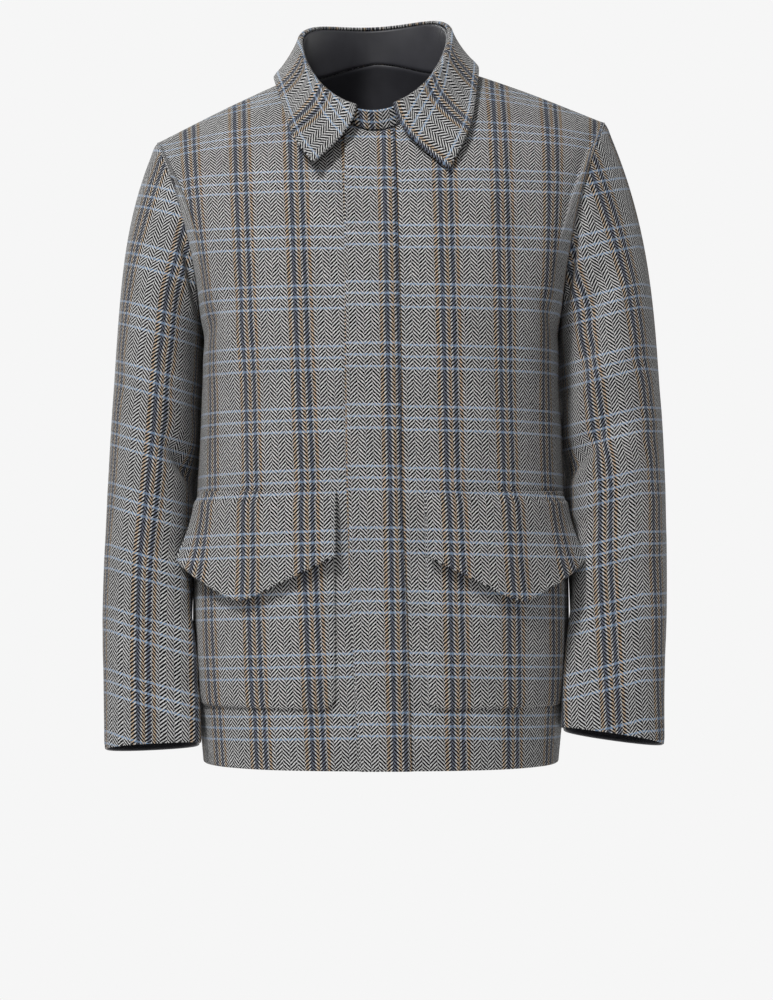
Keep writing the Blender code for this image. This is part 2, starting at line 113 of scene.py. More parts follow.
# Sleeve, from rings below the armhole; its inner side tucks in behind the body and laps over it in front
SleeveRing = namedtuple("SleeveRing", "height outer_left outer_right inner front back tuck lap")
SLEEVE_RINGS = (
    SleeveRing(-0.300, 0.2900, 0.2780, 0.1895, -0.076, 0.080, 0.014, 0.000),
    SleeveRing(-0.370, 0.2950, 0.2825, 0.1910, -0.078, 0.076, 0.017, 0.000),
    SleeveRing(-0.450, 0.2980, 0.2865, 0.1960, -0.079, 0.066, 0.017, 0.000),
    SleeveRing(-0.560, 0.2980, 0.2900, 0.1990, -0.083, 0.040, 0.011, 0.016),
    SleeveRing(-0.640, 0.2945, 0.2880, 0.1950, -0.089, 0.014, 0.004, 0.022),
    SleeveRing(-0.706, 0.2935, 0.2860, 0.1870, -0.094, -0.012, 0.000, 0.016),
)
SLEEVE_SQUARENESS = 2.2
SLEEVE_GIRTH = 0.36
INNER_SHIFT = 2.6
SLEEVE_COLUMNS = 104
CAP_ROWS = 60
CAP_LEVELS = 90
ARM_ROWS = 121
SLEEVE_FOLD_FADE = 0.030
CUFF_DRAW = 0.0008
CUFF_DRAW_WIDTH = 0.004
Cuff = namedtuple("Cuff", "height lean_out lean_back")
CUFF_LEFT = Cuff(-0.695, 0.14, 0.16)
CUFF_RIGHT = Cuff(-0.705, 0.05, 0.16)

# Sleeve folds: turn and slope in degrees, the rest in metres, depth outward
Fold = namedtuple("Fold", "turn height slope half_length half_width depth")
FOLDS_RIGHT = (
    Fold(126, -0.398, -40, 0.052, 0.016, -0.0050),
    Fold(112, -0.350, -42, 0.052, 0.018, 0.0030),
    Fold(116, -0.446, -36, 0.055, 0.018, 0.0032),
    Fold(250, -0.450, -20, 0.070, 0.018, -0.0035),
)
FOLDS_LEFT = (
    Fold(98, -0.240, -62, 0.040, 0.014, -0.0040),
    Fold(124, -0.390, -26, 0.052, 0.016, -0.0050),
    Fold(110, -0.434, -28, 0.055, 0.018, 0.0032),
    Fold(255, -0.440, -22, 0.070, 0.018, -0.0035),
)
SOFT_FOLDS_RIGHT = (
    Fold(142, -0.414, -40, 0.030, 0.0080, -0.0050),
    Fold(100, -0.366, -44, 0.034, 0.0085, -0.0024),
    Fold(128, -0.428, -34, 0.036, 0.0090, 0.0028),
    Fold(96, -0.298, -52, 0.040, 0.0100, -0.0028),
    Fold(84, -0.330, -38, 0.042, 0.0110, 0.0020),
    Fold(74, -0.232, -58, 0.036, 0.0110, 0.0020),
    Fold(132, -0.500, -22, 0.040, 0.0100, -0.0030),
    Fold(88, -0.520, -12, 0.050, 0.0120, 0.0018),
    Fold(104, -0.575, 14, 0.046, 0.0120, -0.0022),
    Fold(72, -0.615, -10, 0.050, 0.0130, 0.0016),
    Fold(120, -0.640, 12, 0.042, 0.0110, -0.0020),
    Fold(225, -0.385, -30, 0.055, 0.0110, -0.0034),
    Fold(265, -0.415, -16, 0.060, 0.0120, 0.0030),
    Fold(240, -0.505, -26, 0.050, 0.0110, -0.0026),
    Fold(290, -0.300, -22, 0.055, 0.0140, -0.0018),
    Fold(300, -0.560, -12, 0.050, 0.0140, 0.0014),
)
SOFT_FOLDS_LEFT = (
    Fold(100, -0.242, -62, 0.030, 0.0075, -0.0040),
    Fold(82, -0.250, -60, 0.034, 0.0095, 0.0028),
    Fold(116, -0.292, -48, 0.036, 0.0090, -0.0036),
    Fold(104, -0.318, -42, 0.040, 0.0100, 0.0028),
    Fold(95, -0.350, -44, 0.026, 0.0110, -0.0034),
    Fold(144, -0.410, -34, 0.030, 0.0080, -0.0046),
    Fold(102, -0.374, -24, 0.036, 0.0080, -0.0024),
    Fold(128, -0.420, -26, 0.036, 0.0090, 0.0030),
    Fold(118, -0.468, -20, 0.042, 0.0095, -0.0030),
    Fold(80, -0.500, -10, 0.050, 0.0130, 0.0018),
    Fold(106, -0.560, 12, 0.046, 0.0120, -0.0020),
    Fold(74, -0.620, -12, 0.048, 0.0130, -0.0016),
    Fold(230, -0.370, -28, 0.055, 0.0110, -0.0034),
    Fold(270, -0.405, -18, 0.058, 0.0120, 0.0030),
    Fold(245, -0.495, -24, 0.050, 0.0110, -0.0026),
    Fold(300, -0.310, -20, 0.052, 0.0140, -0.0018),
)

# Drag of a sleeve along the lower half of its armhole seam: turn in degrees, the rest in metres
SeamDrag = namedtuple("SeamDrag", "turn half_turn away half_width depth")
SEAM_DRAGS = (
    SeamDrag(112, 34, 0.0100, 0.0065, -0.0050),
    SeamDrag(100, 32, 0.0240, 0.0090, 0.0022),
    SeamDrag(246, 36, 0.0100, 0.0070, -0.0040),
    SeamDrag(258, 34, 0.0250, 0.0100, 0.0018),
)

# Body folds: x and z of the middle, slope from level in degrees, the rest in metres
BodyFold = namedtuple("BodyFold", "x z slope half_length half_width depth")
FRONT_FOLDS = (
    BodyFold(-0.176, -0.270, 52, 0.040, 0.010, -0.0030),
    BodyFold(-0.160, -0.305, 58, 0.055, 0.014, 0.0016),
    BodyFold(-0.150, -0.395, 78, 0.090, 0.017, -0.0016),
    BodyFold(-0.095, -0.350, 84, 0.110, 0.022, 0.0010),
    BodyFold(-0.060, -0.230, 70, 0.070, 0.018, -0.0008),
    BodyFold(-0.110, -0.700, 86, 0.060, 0.026, 0.0014),
    BodyFold(0.176, -0.262, -56, 0.045, 0.010, -0.0028),
    BodyFold(0.158, -0.315, -66, 0.060, 0.015, 0.0014),
    BodyFold(0.162, -0.400, -84, 0.090, 0.017, -0.0018),
    BodyFold(0.105, -0.360, -80, 0.100, 0.022, 0.0010),
    BodyFold(0.075, -0.215, -66, 0.060, 0.018, -0.0008),
    BodyFold(0.120, -0.700, -85, 0.060, 0.025, 0.0012),
)
BACK_FOLDS = (
    BodyFold(-0.130, -0.215, 38, 0.070, 0.015, -0.0024),
    BodyFold(-0.110, -0.265, 46, 0.075, 0.017, 0.0016),
    BodyFold(0.128, -0.222, -36, 0.068, 0.015, -0.0024),
    BodyFold(0.112, -0.275, -48, 0.075, 0.017, 0.0016),
    BodyFold(0.010, -0.120, 4, 0.080, 0.014, -0.0012),
    BodyFold(-0.065, -0.450, 84, 0.120, 0.020, -0.0022),
    BodyFold(0.058, -0.470, -82, 0.130, 0.022, -0.0020),
    BodyFold(0.000, -0.520, 88, 0.150, 0.024, 0.0018),
    BodyFold(-0.135, -0.560, 80, 0.110, 0.022, 0.0016),
    BodyFold(0.132, -0.545, -78, 0.115, 0.022, 0.0014),
    BodyFold(-0.030, -0.410, 18, 0.070, 0.013, -0.0012),
    BodyFold(0.045, -0.435, -14, 0.065, 0.013, -0.0012),
)

# Closing of the front: the placket's free and sewn edges
Closing = namedtuple("Closing", "height free sewn")
CLOSINGS = (
    Closing(-0.722, -0.021, 0.032),
    Closing(-0.560, -0.030, 0.027),
    Closing(-0.450, -0.034, 0.022),
    Closing(-0.330, -0.036, 0.021),
)
PLACKET_LAP = 0.0011
PLACKET_TRIM = 0.0033
PLACKET_COLUMNS = 30
PLACKET_SINK = 0.0028
PLACKET_THINNING = 0.0019
PLACKET_SINK_WIDTH = 0.0042
PLACKET_TOP_LIFT = 0.0010
ZIP_TRIM = 0.050
FRONT_EDGE = 0.0037
CHAIN_HALF = 0.0028
CHAIN_DEEP = 0.0030
TAPE_WIDTH = 0.0140
TOOTH_PITCH = 0.0026

# Patch pockets and flaps, placed along the panel from the front middle
POCKET_INNER = 0.045
POCKET_OUTER = 0.222
POCKET_TOP = -0.452
POCKET_BOTTOM = -0.660
POCKET_CORNER = 0.008
POCKET_LAP = 0.0010
POCKET_COLUMNS = 70
POCKET_ROWS = 72
POCKET_PRESS = 0.0013
POCKET_THINNING = 0.0008
POCKET_PRESS_WIDTH = 0.0030
POCKET_FILL = 0.0006
POCKET_WAVER = 0.0005
FLAP_TOP = -0.440
FLAP_ROOT = 0.010
FLAP_SIDE = 0.068
FLAP_TIP = 0.111
FLAP_FLARE = 0.009
FLAP_CORNER_FLARE = 0.009
FLAP_COLUMNS = 73
FLAP_MIDDLE = 0.53
FLAP_CORNER = 0.003
FLAP_CORNER_SHARE = 0.022
FLAP_OVERHANG = 0.001
FLAP_EXTRA_WIDTH = 0.005
FLAP_BELLY = 0.0012
FLAP_STITCH_LINE = 0.0092
FLAP_STITCH_SINK = 0.0021
STITCH_LENGTH = 0.0026
STITCH_PITCH = 0.0035
STITCH_RADIUS = 0.00032
STITCH_SIDES = 6

# Rings of one stitch: share of its length, then size and rise in shares of its radius
StitchRing = namedtuple("StitchRing", "share size rise")
STITCH_RINGS = (
    StitchRing(0.0, 0.4, -0.6),
    StitchRing(0.2, 0.9, 0.5),
    StitchRing(0.5, 1.0, 0.9),
    StitchRing(0.8, 0.9, 0.5),
    StitchRing(1.0, 0.4, -0.6),
)

# Ends of one zip tooth: shares of its reach, half width and half depth
ToothEnd = namedtuple("ToothEnd", "reach width depth")
TOOTH_ENDS = (ToothEnd(-0.3, 1.0, 1.0), ToothEnd(1.2, 0.7, 0.8))
TOOTH_BEVEL = 0.0002

# Collar leaf: its outer edge, by the turn of the fold above it
LEAF_END = 13
LEAF_ROLL = 0.0050
STAND_LAP = 0.0036
STAND_RISE = 0.0016
STAND_ENDS = (-17, 356)
STAND_COLUMNS = 190
STAND_ROWS = 18
LEAF_COLUMNS = 220
LEAF_ROWS = 34
LEAF_ROLL_ROWS = 5
LEAF_ROLL_ROUND = 0.0012
LEAF_EDGE_STAND = 0.0006
LeafEdge = namedtuple("LeafEdge", "turn x y z")
LEAF_LEFT = (
    LeafEdge(13, 0.0755, -0.119, -0.1130),
    LeafEdge(30, 0.0910, -0.105, -0.0830),
    LeafEdge(48, 0.1000, -0.085, -0.0590),
    LeafEdge(68, 0.1060, -0.048, -0.0240),
    LeafEdge(90, 0.1090, -0.004, 0.0045),
    LeafEdge(135, 0.0800, 0.074, -0.0060),
    LeafEdge(180, 0.0000, 0.106, -0.0120),
)
LEAF_RIGHT = (
    LeafEdge(13, 0.0625, -0.128, -0.1070),
    LeafEdge(30, 0.0810, -0.115, -0.0820),
    LeafEdge(48, 0.0910, -0.092, -0.0560),
    LeafEdge(68, 0.1010, -0.050, -0.0260),
    LeafEdge(90, 0.1070, -0.004, -0.0060),
    LeafEdge(135, 0.0800, 0.074, -0.0100),
    LeafEdge(180, 0.0000, 0.106, -0.0120),
)
LeafFold = namedtuple("LeafFold", "turn half_turn depth")
LEAF_FOLDS = (
    LeafFold(303, 7, -0.0018),
    LeafFold(322, 8, 0.0010),
    LeafFold(55, 9, -0.0010),
    LeafFold(210, 12, 0.0008),
)

# Check: stripes along the length in sets, and triple lines across
SET_PERIOD = 0.061
LINE_PERIOD = 0.0619
LINE_STEP = 0.0117
LINE_WIDTH = 0.0024
LINES_END = 0.0270
LINES_END_SOFT = 0.0002
LINE_SOFT = 0.0004
STRIPE_SOFT = 0.0005
Stripe = namedtuple("Stripe", "start end")
TAN_STRIPES = (Stripe(0.0008, 0.0042), Stripe(0.0124, 0.0158), Stripe(0.0236, 0.0268))
NAVY_STRIPES = (Stripe(0.0062, 0.0106), Stripe(0.0176, 0.0216))
SET_MIDDLE = 0.0137
RIB = 0.0076
RIB_SOFT = 0.0002
TWILL = 0.0040
TWILL_WANDER = 0.0016

# How fine the unevenness of the wool is, in noise cells a metre
YARN_CELLS = 1100.0
FUZZ_CELLS = 420.0
WANDER_CELLS = 330.0
BROAD_CELLS = 22.0

# How the check lies on each piece of the body: where a set starts, its lean, the height both are read at,
# and the height of a triple of lines
Grain = namedtuple("Grain", "set_start lean height line")
PLACKET_GRAIN = Grain(-0.0030, 0.0165, -0.185, -0.4148)
LEFT_GRAIN = Grain(-0.0052, 0.0220, -0.300, -0.4168)
RIGHT_GRAIN = Grain(-0.0980, 0.0400, -0.185, -0.4178)
BACK_GRAIN = Grain(0.0160, 0.0000, -0.330, -0.4168)
LineDrop = namedtuple("LineDrop", "height right left")
LINE_DROPS = (
    LineDrop(-0.722, 0.034, 0.034),
    LineDrop(-0.450, 0.044, 0.036),
    LineDrop(-0.330, 0.020, 0.018),
    LineDrop(-0.160, 0.006, 0.005),
)
LINE_DROP_START = 0.050

# How the check lies on the sleeves: the middle of a set at each height, seen from the front
SetPath = namedtuple("SetPath", "height right left")
SET_PATHS = (
    SetPath(-0.700, 0.2430, 0.2390),
    SetPath(-0.580, 0.2440, 0.2330),
    SetPath(-0.510, 0.2420, 0.2300),
    SetPath(-0.430, 0.2340, 0.2300),
    SetPath(-0.330, 0.2250, 0.2180),
    SetPath(-0.200, 0.2180, 0.2070),
)
SleeveLines = namedtuple("SleeveLines", "height tilt tilt_from")
SLEEVE_LINES_RIGHT = SleeveLines(-0.431, 0.28, 0.280)
SLEEVE_LINES_LEFT = SleeveLines(-0.4175, 0.24, 0.268)
SLEEVE_LINE_PERIOD = 0.0641
SLEEVE_LINE_STRETCH = SLEEVE_LINE_PERIOD / LINE_PERIOD

# Colours of the yarns and the other finishes
PALE_YARN = (0.400, 0.398, 0.394, 1.0)
DARK_YARN = (0.004, 0.004, 0.005, 1.0)
TAN_YARN = (0.360, 0.276, 0.196, 1.0)
NAVY_YARN = (0.108, 0.119, 0.150, 1.0)
BLUE_YARN = (0.098, 0.150, 0.226, 1.0)
LINING_COLOUR = (0.012, 0.012, 0.015, 1.0)
LINING_PALER = (0.022, 0.022, 0.027, 1.0)
TAPE_COLOUR = (0.020, 0.020, 0.024, 1.0)
TAPE_PALER = (0.034, 0.034, 0.040, 1.0)
METAL_COLOUR = (0.320, 0.310, 0.290, 1.0)
METAL_DARKER = (0.20, 0.19, 0.18, 1.0)
THREAD_COLOUR = (0.020, 0.020, 0.022, 1.0)
THREAD_PALER = (0.050, 0.050, 0.055, 1.0)
FLOOR_COLOUR = (0.740, 0.740, 0.740, 1.0)
FLOOR_DARKER = (0.73, 0.73, 0.73, 1.0)
FLOOR_GLOW = 0.45

# Room: a round pale floor at standing height, and the paper behind
FLOOR_Z = -1.50
FLOOR_RADIUS = 2.4
PAPER = 0.922
AMBIENT = 0.29

# Lights, which all aim at the middle of the jacket, and the camera
Lamp = namedtuple("Lamp", "name place size power")
LAMPS = (
    Lamp("key", (-1.3, -2.4, 2.3), 0.55, 165.0),
    Lamp("fill", (-0.4, -3.8, 0.5), 1.4, 29.0),
    Lamp("side", (3.0, 1.4, 0.8), 1.4, 26.0),
    Lamp("behind", (-1.5, 2.8, 1.6), 1.4, 70.0),
)
LAMP_AIM = (0.0, 0.0, -0.36)
CAMERA_PLACE = (0.0058, -3.6, -0.449)
CAMERA_LENS = 123.4
CAMERA_SENSOR = 36.0

# Rows of the body panels: level heights, then shares of the rise to the top edge
LEVEL_ROWS = 121
RISING_ROWS = 81
BodyRow = namedtuple("BodyRow", "height rise")
BODY_ROWS = tuple(
    [BodyRow(h, 0.0) for h in np.linspace(HEM_Z, CHEST_Z, LEVEL_ROWS)]
    + [BodyRow(CHEST_Z, f) for f in np.linspace(0.0, 1.0, RISING_ROWS)[1:]]
)

# Columns of the body panels below the neckline, the shoulder seam and the armhole
NECK_COLUMNS = 26
SHOULDER_COLUMNS = 34
ARMHOLE_COLUMNS = 32

# A border column past this share of a panel's width lies on the side seam
SIDE_SHARE = 0.9

# Directions
UP = np.array((0.0, 0.0, 1.0))
FRONTWARD = np.array((0.0, -1.0, 0.1))


def smooth(table, column, at):
    """A smooth curve through one column of a table, whose first column gives the stations."""
    stations = np.array([row[0] for row in table], float)
    values = np.array([getattr(row, column) for row in table], float)
    slopes = np.gradient(values, stations)
    at = np.clip(np.asarray(at, float), stations[0], stations[-1])
    cell = np.clip(np.searchsorted(stations, at, side="right") - 1, 0, len(stations) - 2)
    width = stations[cell + 1] - stations[cell]
    f = (at - stations[cell]) / width
    start = (1 + 2 * f) * (1 - f) ** 2 * values[cell] + f * (1 - f) ** 2 * width * slopes[cell]
    end = f * f * (3 - 2 * f) * values[cell + 1] + f * f * (f - 1) * width * slopes[cell + 1]
    return start + end


def ease(f):
    """A soft step from 0 to 1."""
    f = np.clip(f, 0.0, 1.0)
    return f * f * (3 - 2 * f)


def bump(f):
    return np.exp(-f * f)


def unit(vectors):
    return vectors / np.linalg.norm(vectors, axis=-1, keepdims=True)


def points(x, y, z):
    return np.stack(np.broadcast_arrays(x, y, z), axis=-1).astype(float)


def bezier(start, leave, arrive, end, f):
    return (start * (1 - f) ** 3 + leave * 3 * f * (1 - f) ** 2
            + arrive * 3 * f * f * (1 - f) + end * f ** 3)


def along(grid, axis):
    """Lengths along the rows or columns of a grid, from its start."""
    steps = np.linalg.norm(np.diff(grid, axis=axis), axis=-1)
    first = np.zeros_like(np.take(steps, [0], axis=axis))
    return np.concatenate((first, np.cumsum(steps, axis=axis)), axis=axis)


def outward_of(grid, closed=False):
    """Directions out of a grid of points, from its rows and columns."""
    if closed:
        across = np.roll(grid, -1, axis=1) - np.roll(grid, 1, axis=1)
    else:
        across = np.gradient(grid, axis=1)
    return unit(np.cross(across, np.gradient(grid, axis=0)))


# Surfaces of the body

def quarter(half_width, depth):
    """A quarter of a ring, from the middle to the side, with the length along it."""
    angle = np.linspace(0.0, np.pi / 2, 400)
    x = half_width * np.sin(angle) ** (2 / SQUARENESS)
    y = depth * np.cos(angle) ** (2 / SQUARENESS)
    length = np.concatenate(([0.0], np.cumsum(np.hypot(np.diff(x), np.diff(y)))))
    return x, y, length


def panel_length(height, face):
    return quarter(smooth(BODY_RINGS, "half_width", height), abs(smooth(BODY_RINGS, face, height)))[2][-1]


def ring(height, share, face):
    """Points of a level ring at signed shares of the panel, on the front or the back."""
    depth = smooth(BODY_RINGS, face, height)
    x, y, length = quarter(smooth(BODY_RINGS, "half_width", height), abs(depth))
    way = np.abs(share) * length[-1]
    x = np.sign(share) * np.interp(way, length, x)
    y = np.sign(depth) * np.interp(way, length, y)
    return points(x, y, height)


def loop(size, turn):
    """A neck loop: turn 0 at the front, a quarter turn at the left side."""
    c = np.cos(turn)
    swing = (size.front_z - size.back_z) / 2
    level = (size.front_z + size.back_z) / 2
    base = (level + size.side_z) / 2
    y = (size.front + size.back) / 2 + (size.front - size.back) / 2 * c
    z = base + swing * c + (level - base) * np.cos(2 * turn) + NECK_TILT * np.sin(turn)
    return points(NECK_X + size.half_width * np.sin(turn), y, z)


def away(turn):
    """Level direction away from the neck."""
    return points(np.sin(turn), -np.cos(turn), 0.0)


def armhole(turn, side):
    """The armhole seam: turn 0 at the shoulder, a quarter turn at the front, half a turn at the armpit."""
    height = SHOULDER.z + side * SHOULDER.tilt - ARMPIT_Z
    z = ARMPIT_Z + height * (1 + np.cos(turn)) / 2
    depth = np.where(np.sin(turn) > 0, ARMHOLE_FRONT, ARMHOLE_BACK)
    x = ARMPIT_X + (SHOULDER.out - ARMPIT_X) * np.maximum((z - ARMPIT_Z) / height, 0.0) ** 1.8
    return points(side * x, SHOULDER.y - depth * np.sin(turn), z)


def armhole_outward(turn, side):
    return points(side * 0.2 * np.cos(turn), -np.sin(turn), 0.98 * np.cos(turn))


def panel_top(share, face):
    """Where a panel's columns lead: the shoulder line, carried on across the neck, or the armhole."""
    size = np.abs(share)
    side = np.where(share < 0, -1.0, 1.0)
    arm = np.pi * np.clip((size - SHOULDER_SHARE) / (1 - SHOULDER_SHARE), 0.0, 1.0)
    shift, out, y, z, tilt = (smooth(SHOULDER_LINE, c, size) for c in SHOULDER_LINE[0]._fields[1:])
    if face == "back":
        arm = -arm
        nape = np.clip(1 - (size / NECK_SHARE) ** 2, 0.0, 1.0) ** 1.5
        y = y + NAPE_Y * nape + SEAM / 2
        z = z + NAPE_Z * nape
    else:
        y = y - SEAM / 2
    line = points(shift + side * out, y, z + side * tilt)
    return np.where((size > SHOULDER_SHARE)[:, None], armhole(arm, side), line)


def top_outward(share, face):
    """Directions out of the cloth along the neckline, shoulder seam and armhole."""
    size = np.abs(share)
    side = np.where(share < 0, -1.0, 1.0)
    turn = side * np.arcsin(np.clip(size / NECK_SHARE, 0.0, 1.0))
    arm = np.pi * np.clip((size - SHOULDER_SHARE) / (1 - SHOULDER_SHARE), 0.0, 1.0)
    if face == "back":
        turn = side * np.pi - turn
        arm = -arm
    seam = unit(points(side * 0.45, 0.0, 1.0))
    neck = unit(away(turn) + UP)
    outward = np.where((size > SHOULDER_SHARE)[:, None], armhole_outward(arm, side), seam)
    return np.where((size < NECK_SHARE)[:, None], neck, outward)


def panel_curve(share, rise, face):
    """Points between the chest and the top of a panel, which the neckline trims at the middle."""
    chest = ring(CHEST_Z, share, face)
    top = panel_top(share, face)
    steep = np.radians(smooth(TOP_SLOPES, face, np.abs(share)))
    reach = 0.40 * np.linalg.norm(top - chest, axis=-1)[:, None]
    inward = 1.0 if face == "front" else -1.0
    drift = (top - chest) * np.array((1.0, 0.0, 0.0))
    near_arm = ease((np.abs(share) - 0.55) / 0.2)[:, None]
    leave = chest + reach * UP + 0.2 * (1 - near_arm) * drift
    slope = points(0.0, inward * np.cos(steep), np.sin(steep))
    arrive = top - reach * slope - (0.3 + 0.42 * near_arm) * drift
    neckline = NECKLINE_FRONT if face == "front" else NECKLINE_BACK
    trim = 1 - (1 - neckline) * np.clip(1 - (share / NECK_SHARE) ** 2, 0.0, 1.0) ** 0.7
    return bezier(chest, leave, arrive, top, (rise * trim)[:, None])


def panel_row(share, row, face):
    return panel_curve(share, row.rise, face) if row.rise else ring(row.height, share, face)


def neck_edge(turn):
    """The neckline on the front and back panels."""
    share = NECK_SHARE * np.sin(turn)
    ahead = (np.cos(turn) >= 0)[:, None]
    return np.where(ahead, panel_curve(share, 1.0, "front"), panel_curve(share, 1.0, "back"))


def body_fold_depth(folds, grid):
    """Outward movement of the cloth at the folds of a body panel."""
    depth = np.zeros(grid.shape[:-1])
    for fold in folds:
        slope = np.radians(fold.slope)
        level = grid[..., 0] - fold.x
        rise = grid[..., 2] - fold.z
        way = level * np.cos(slope) + rise * np.sin(slope)
        across = rise * np.cos(slope) - level * np.sin(slope)
        depth += fold.depth * bump(way / fold.half_length) * bump(across / fold.half_width)
    return depth


def cloth_on_body(grid, shares, rows, face):
    """Cloth distances of a grid on a panel: across from the middle, and up from the frame's level."""
    across = np.empty(grid.shape[:2])
    up = np.empty(grid.shape[:2])
    climbed = np.zeros(grid.shape[1])
    for r, (row, share) in enumerate(zip(rows, shares)):
        way = share * panel_length(row.height, face)
        if row.rise:
            start = ring(CHEST_Z, share, face)
            climbed = climbed + np.hypot(*(grid[r] - grid[r - 1])[:, 1:].T)
            across[r] = way + grid[r][:, 0] - start[:, 0]
            up[r] = CHEST_Z + climbed
        else:
            across[r] = way
            up[r] = row.height
    return across, up


def checked(across, up, grain):
    """Cloth coordinates in which a set of stripes and a triple of lines start at 0."""
    drop = np.where(
        across < 0,
        smooth(LINE_DROPS, "right", up),
        smooth(LINE_DROPS, "left", up),
    ) * np.sqrt(np.maximum(np.abs(across) - LINE_DROP_START, 0.0) ** 2 + 1e-6)
    u = across - grain.set_start - grain.lean * (grain.height - up)
    return np.stack((u, up - grain.line + drop), axis=-1)


# Meshes

def place(name, mesh, node):
    """One piece of the jacket, which moves with it and stands for its solid."""
    piece = bpy.data.objects.new(name, mesh)
    bpy.context.collection.objects.link(piece)
    mesh.shade_smooth()
    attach(piece, "root")
    if node:
        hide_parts(node)
    return piece


def rounded(skin, thickness, closed):
    """A skin whose border draws in a little, so that the rim between two skins is round."""
    skin = skin.copy()
    edges = [(0, 1), (-1, -2)]
    for axis in ((0,) if closed else (0, 1)):
        lines = np.moveaxis(skin, axis, 0)
        for edge, beside in edges:
            step = lines[beside] - lines[edge]
            length = np.linalg.norm(step, axis=-1, keepdims=True)
            lines[edge] += step * np.minimum(RIM_ROUND * thickness / np.maximum(length, 1e-9), 0.7)
    return skin


def cloth(name, node, outside, outward, thickness, uv, finishes, closed=False):
    """A cloth wall with a rounded rim: outside points, the inside one thickness in, and cloth coordinates."""
    rows, columns = outside.shape[:2]
    inside = outside - np.asarray(thickness)[..., None] * outward
    middle = (outside + inside) / 2
    deep = float(np.max(thickness))
    skins = [rounded(skin, deep, closed) for skin in (outside, inside)]
    index = np.arange(rows * columns).reshape(rows, columns)
    uv_index = np.arange(rows * (columns + closed)).reshape(rows, columns + closed)
    if closed:
        index = np.concatenate((index, index[:, :1]), axis=1)
        borders = [(index[r], uv_index[r]) for r in (0, -1)]
    else:
        path = np.concatenate((
            index[0, :-1],
            index[:-1, -1],
            index[-1, :0:-1],
            index[:0:-1, 0],
            index[:1, 0],
        ))
        borders = [(path, path)]
    quads = [np.stack((a[:-1, :-1], a[:-1, 1:], a[1:, 1:], a[1:, :-1]), axis=-1).reshape(-1, 4)
             for a in (index, uv_index)]
    count = rows * columns
    faces = [quads[0], quads[0][:, ::-1] + count]
    corners = [quads[1], quads[1][:, ::-1]]
    rim_start = 2 * count
    rim_points = []
    rim_faces = []
    for path, uv_path in borders:
        ends = len(path) - 1
        rim = rim_start + np.append(np.arange(ends), 0)
        rim_points.append(middle.reshape(-1, 3)[path[:-1]])
        for near, far in ((path, rim), (rim, path + count)):
            rim_faces.append(np.stack((near[:-1], near[1:], far[1:], far[:-1]), axis=-1))
            corners.append(np.stack((uv_path[:-1], uv_path[1:], uv_path[1:], uv_path[:-1]), axis=-1))
        rim_start += ends
    faces = np.concatenate(faces + rim_faces)
    corners = np.concatenate(corners).ravel()
    verts = np.concatenate([s.reshape(-1, 3) for s in skins] + rim_points)
    mesh = bpy.data.meshes.new(name)
    mesh.from_pydata(verts.tolist(), [], faces.tolist())
    layer = mesh.uv_layers.new(name="Cloth")
    layer.data.foreach_set("uv", uv.reshape(-1, 2)[corners].ravel())
    for finish in finishes:
        mesh.materials.append(finish)
    if len(finishes) > 1:
        inner = np.zeros(len(faces), int)
        inner[len(quads[0]):2 * len(quads[0])] = 1
        turned_in = 2 * len(quads[0])
        for path, _ in borders:
            ends = len(path) - 1
            inner[turned_in + ends:turned_in + 2 * ends] = 1
            turned_in += 2 * ends
        mesh.polygons.foreach_set("material_index", inner)
    bm = bmesh.new()
    bm.from_mesh(mesh)
    bmesh.ops.recalc_face_normals(bm, faces=bm.faces)
    bm.to_mesh(mesh)
    bm.free()
    return place(name, mesh, node)


def seam_pinch(distance):
    """The cloth sinks at a seam and stands a little beside it."""
    stand_beside = SEAM_STAND * bump((distance - SEAM_STAND_AWAY) / SEAM_STAND_WIDTH)
    return -SEAM_SINK * bump(distance / SEAM_SINK_WIDTH) + stand_beside


def closing_middle(row):
    return (smooth(CLOSINGS, "free", row.height) + smooth(CLOSINGS, "sewn", row.height)) / 2


def half_columns(start, length):
    """Shares of a panel's columns, from a start by the middle to the side seam."""
    return np.concatenate((
        np.linspace(start, NECK_SHARE, NECK_COLUMNS)[:-1],
        np.linspace(NECK_SHARE, SHOULDER_SHARE, SHOULDER_COLUMNS)[:-1],
        np.linspace(SHOULDER_SHARE, 1 - SEAM / 2 / length, ARMHOLE_COLUMNS),
    ))


def front_columns(side, row):
    """Signed shares of a front's columns towards +X, between the zip and the side seam."""
    length = panel_length(row.height, "front")
    edge = (side * closing_middle(row) + FRONT_EDGE) / length
    return side * half_columns(edge, length)[::side]


def back_columns(row):
    """Signed shares of the back's columns, from the left side seam to the right."""
    half = half_columns(0.0, panel_length(row.height, "back"))
    return np.concatenate((half[::-1], -half[1:]))


def panel(name, node, columns, face, folds, grain, finishes):
    """A front or the back, with its folds and the sewing along its seams."""
    shares = [columns(row) for row in BODY_ROWS]
    grid = np.array([panel_row(share, row, face) for row, share in zip(BODY_ROWS, shares)])
    across, up = cloth_on_body(grid, shares, BODY_ROWS, face)
    outward = outward_of(grid)
    depth = body_fold_depth(folds, grid)
    beyond_neck = ease((np.abs(shares[-1]) - NECK_SHARE) / 0.03)
    depth += beyond_neck * seam_pinch(up[-1] - up)
    for column in (0, -1):
        if abs(shares[0][column]) > SIDE_SHARE:
            depth += seam_pinch(np.abs(across - across[:, [column]]))
    grid = grid + depth[..., None] * outward
    outward = outward_of(grid)
    outward[-1] = top_outward(shares[-1], face)
    for column in (0, -1):
        if abs(shares[0][column]) > SIDE_SHARE:
            outward[:, column] = points(np.sign(shares[0][column]), 0.0, 0.0)
    return cloth(name, node, grid, outward, WOOL, checked(across, up, grain), finishes)


# Sleeves

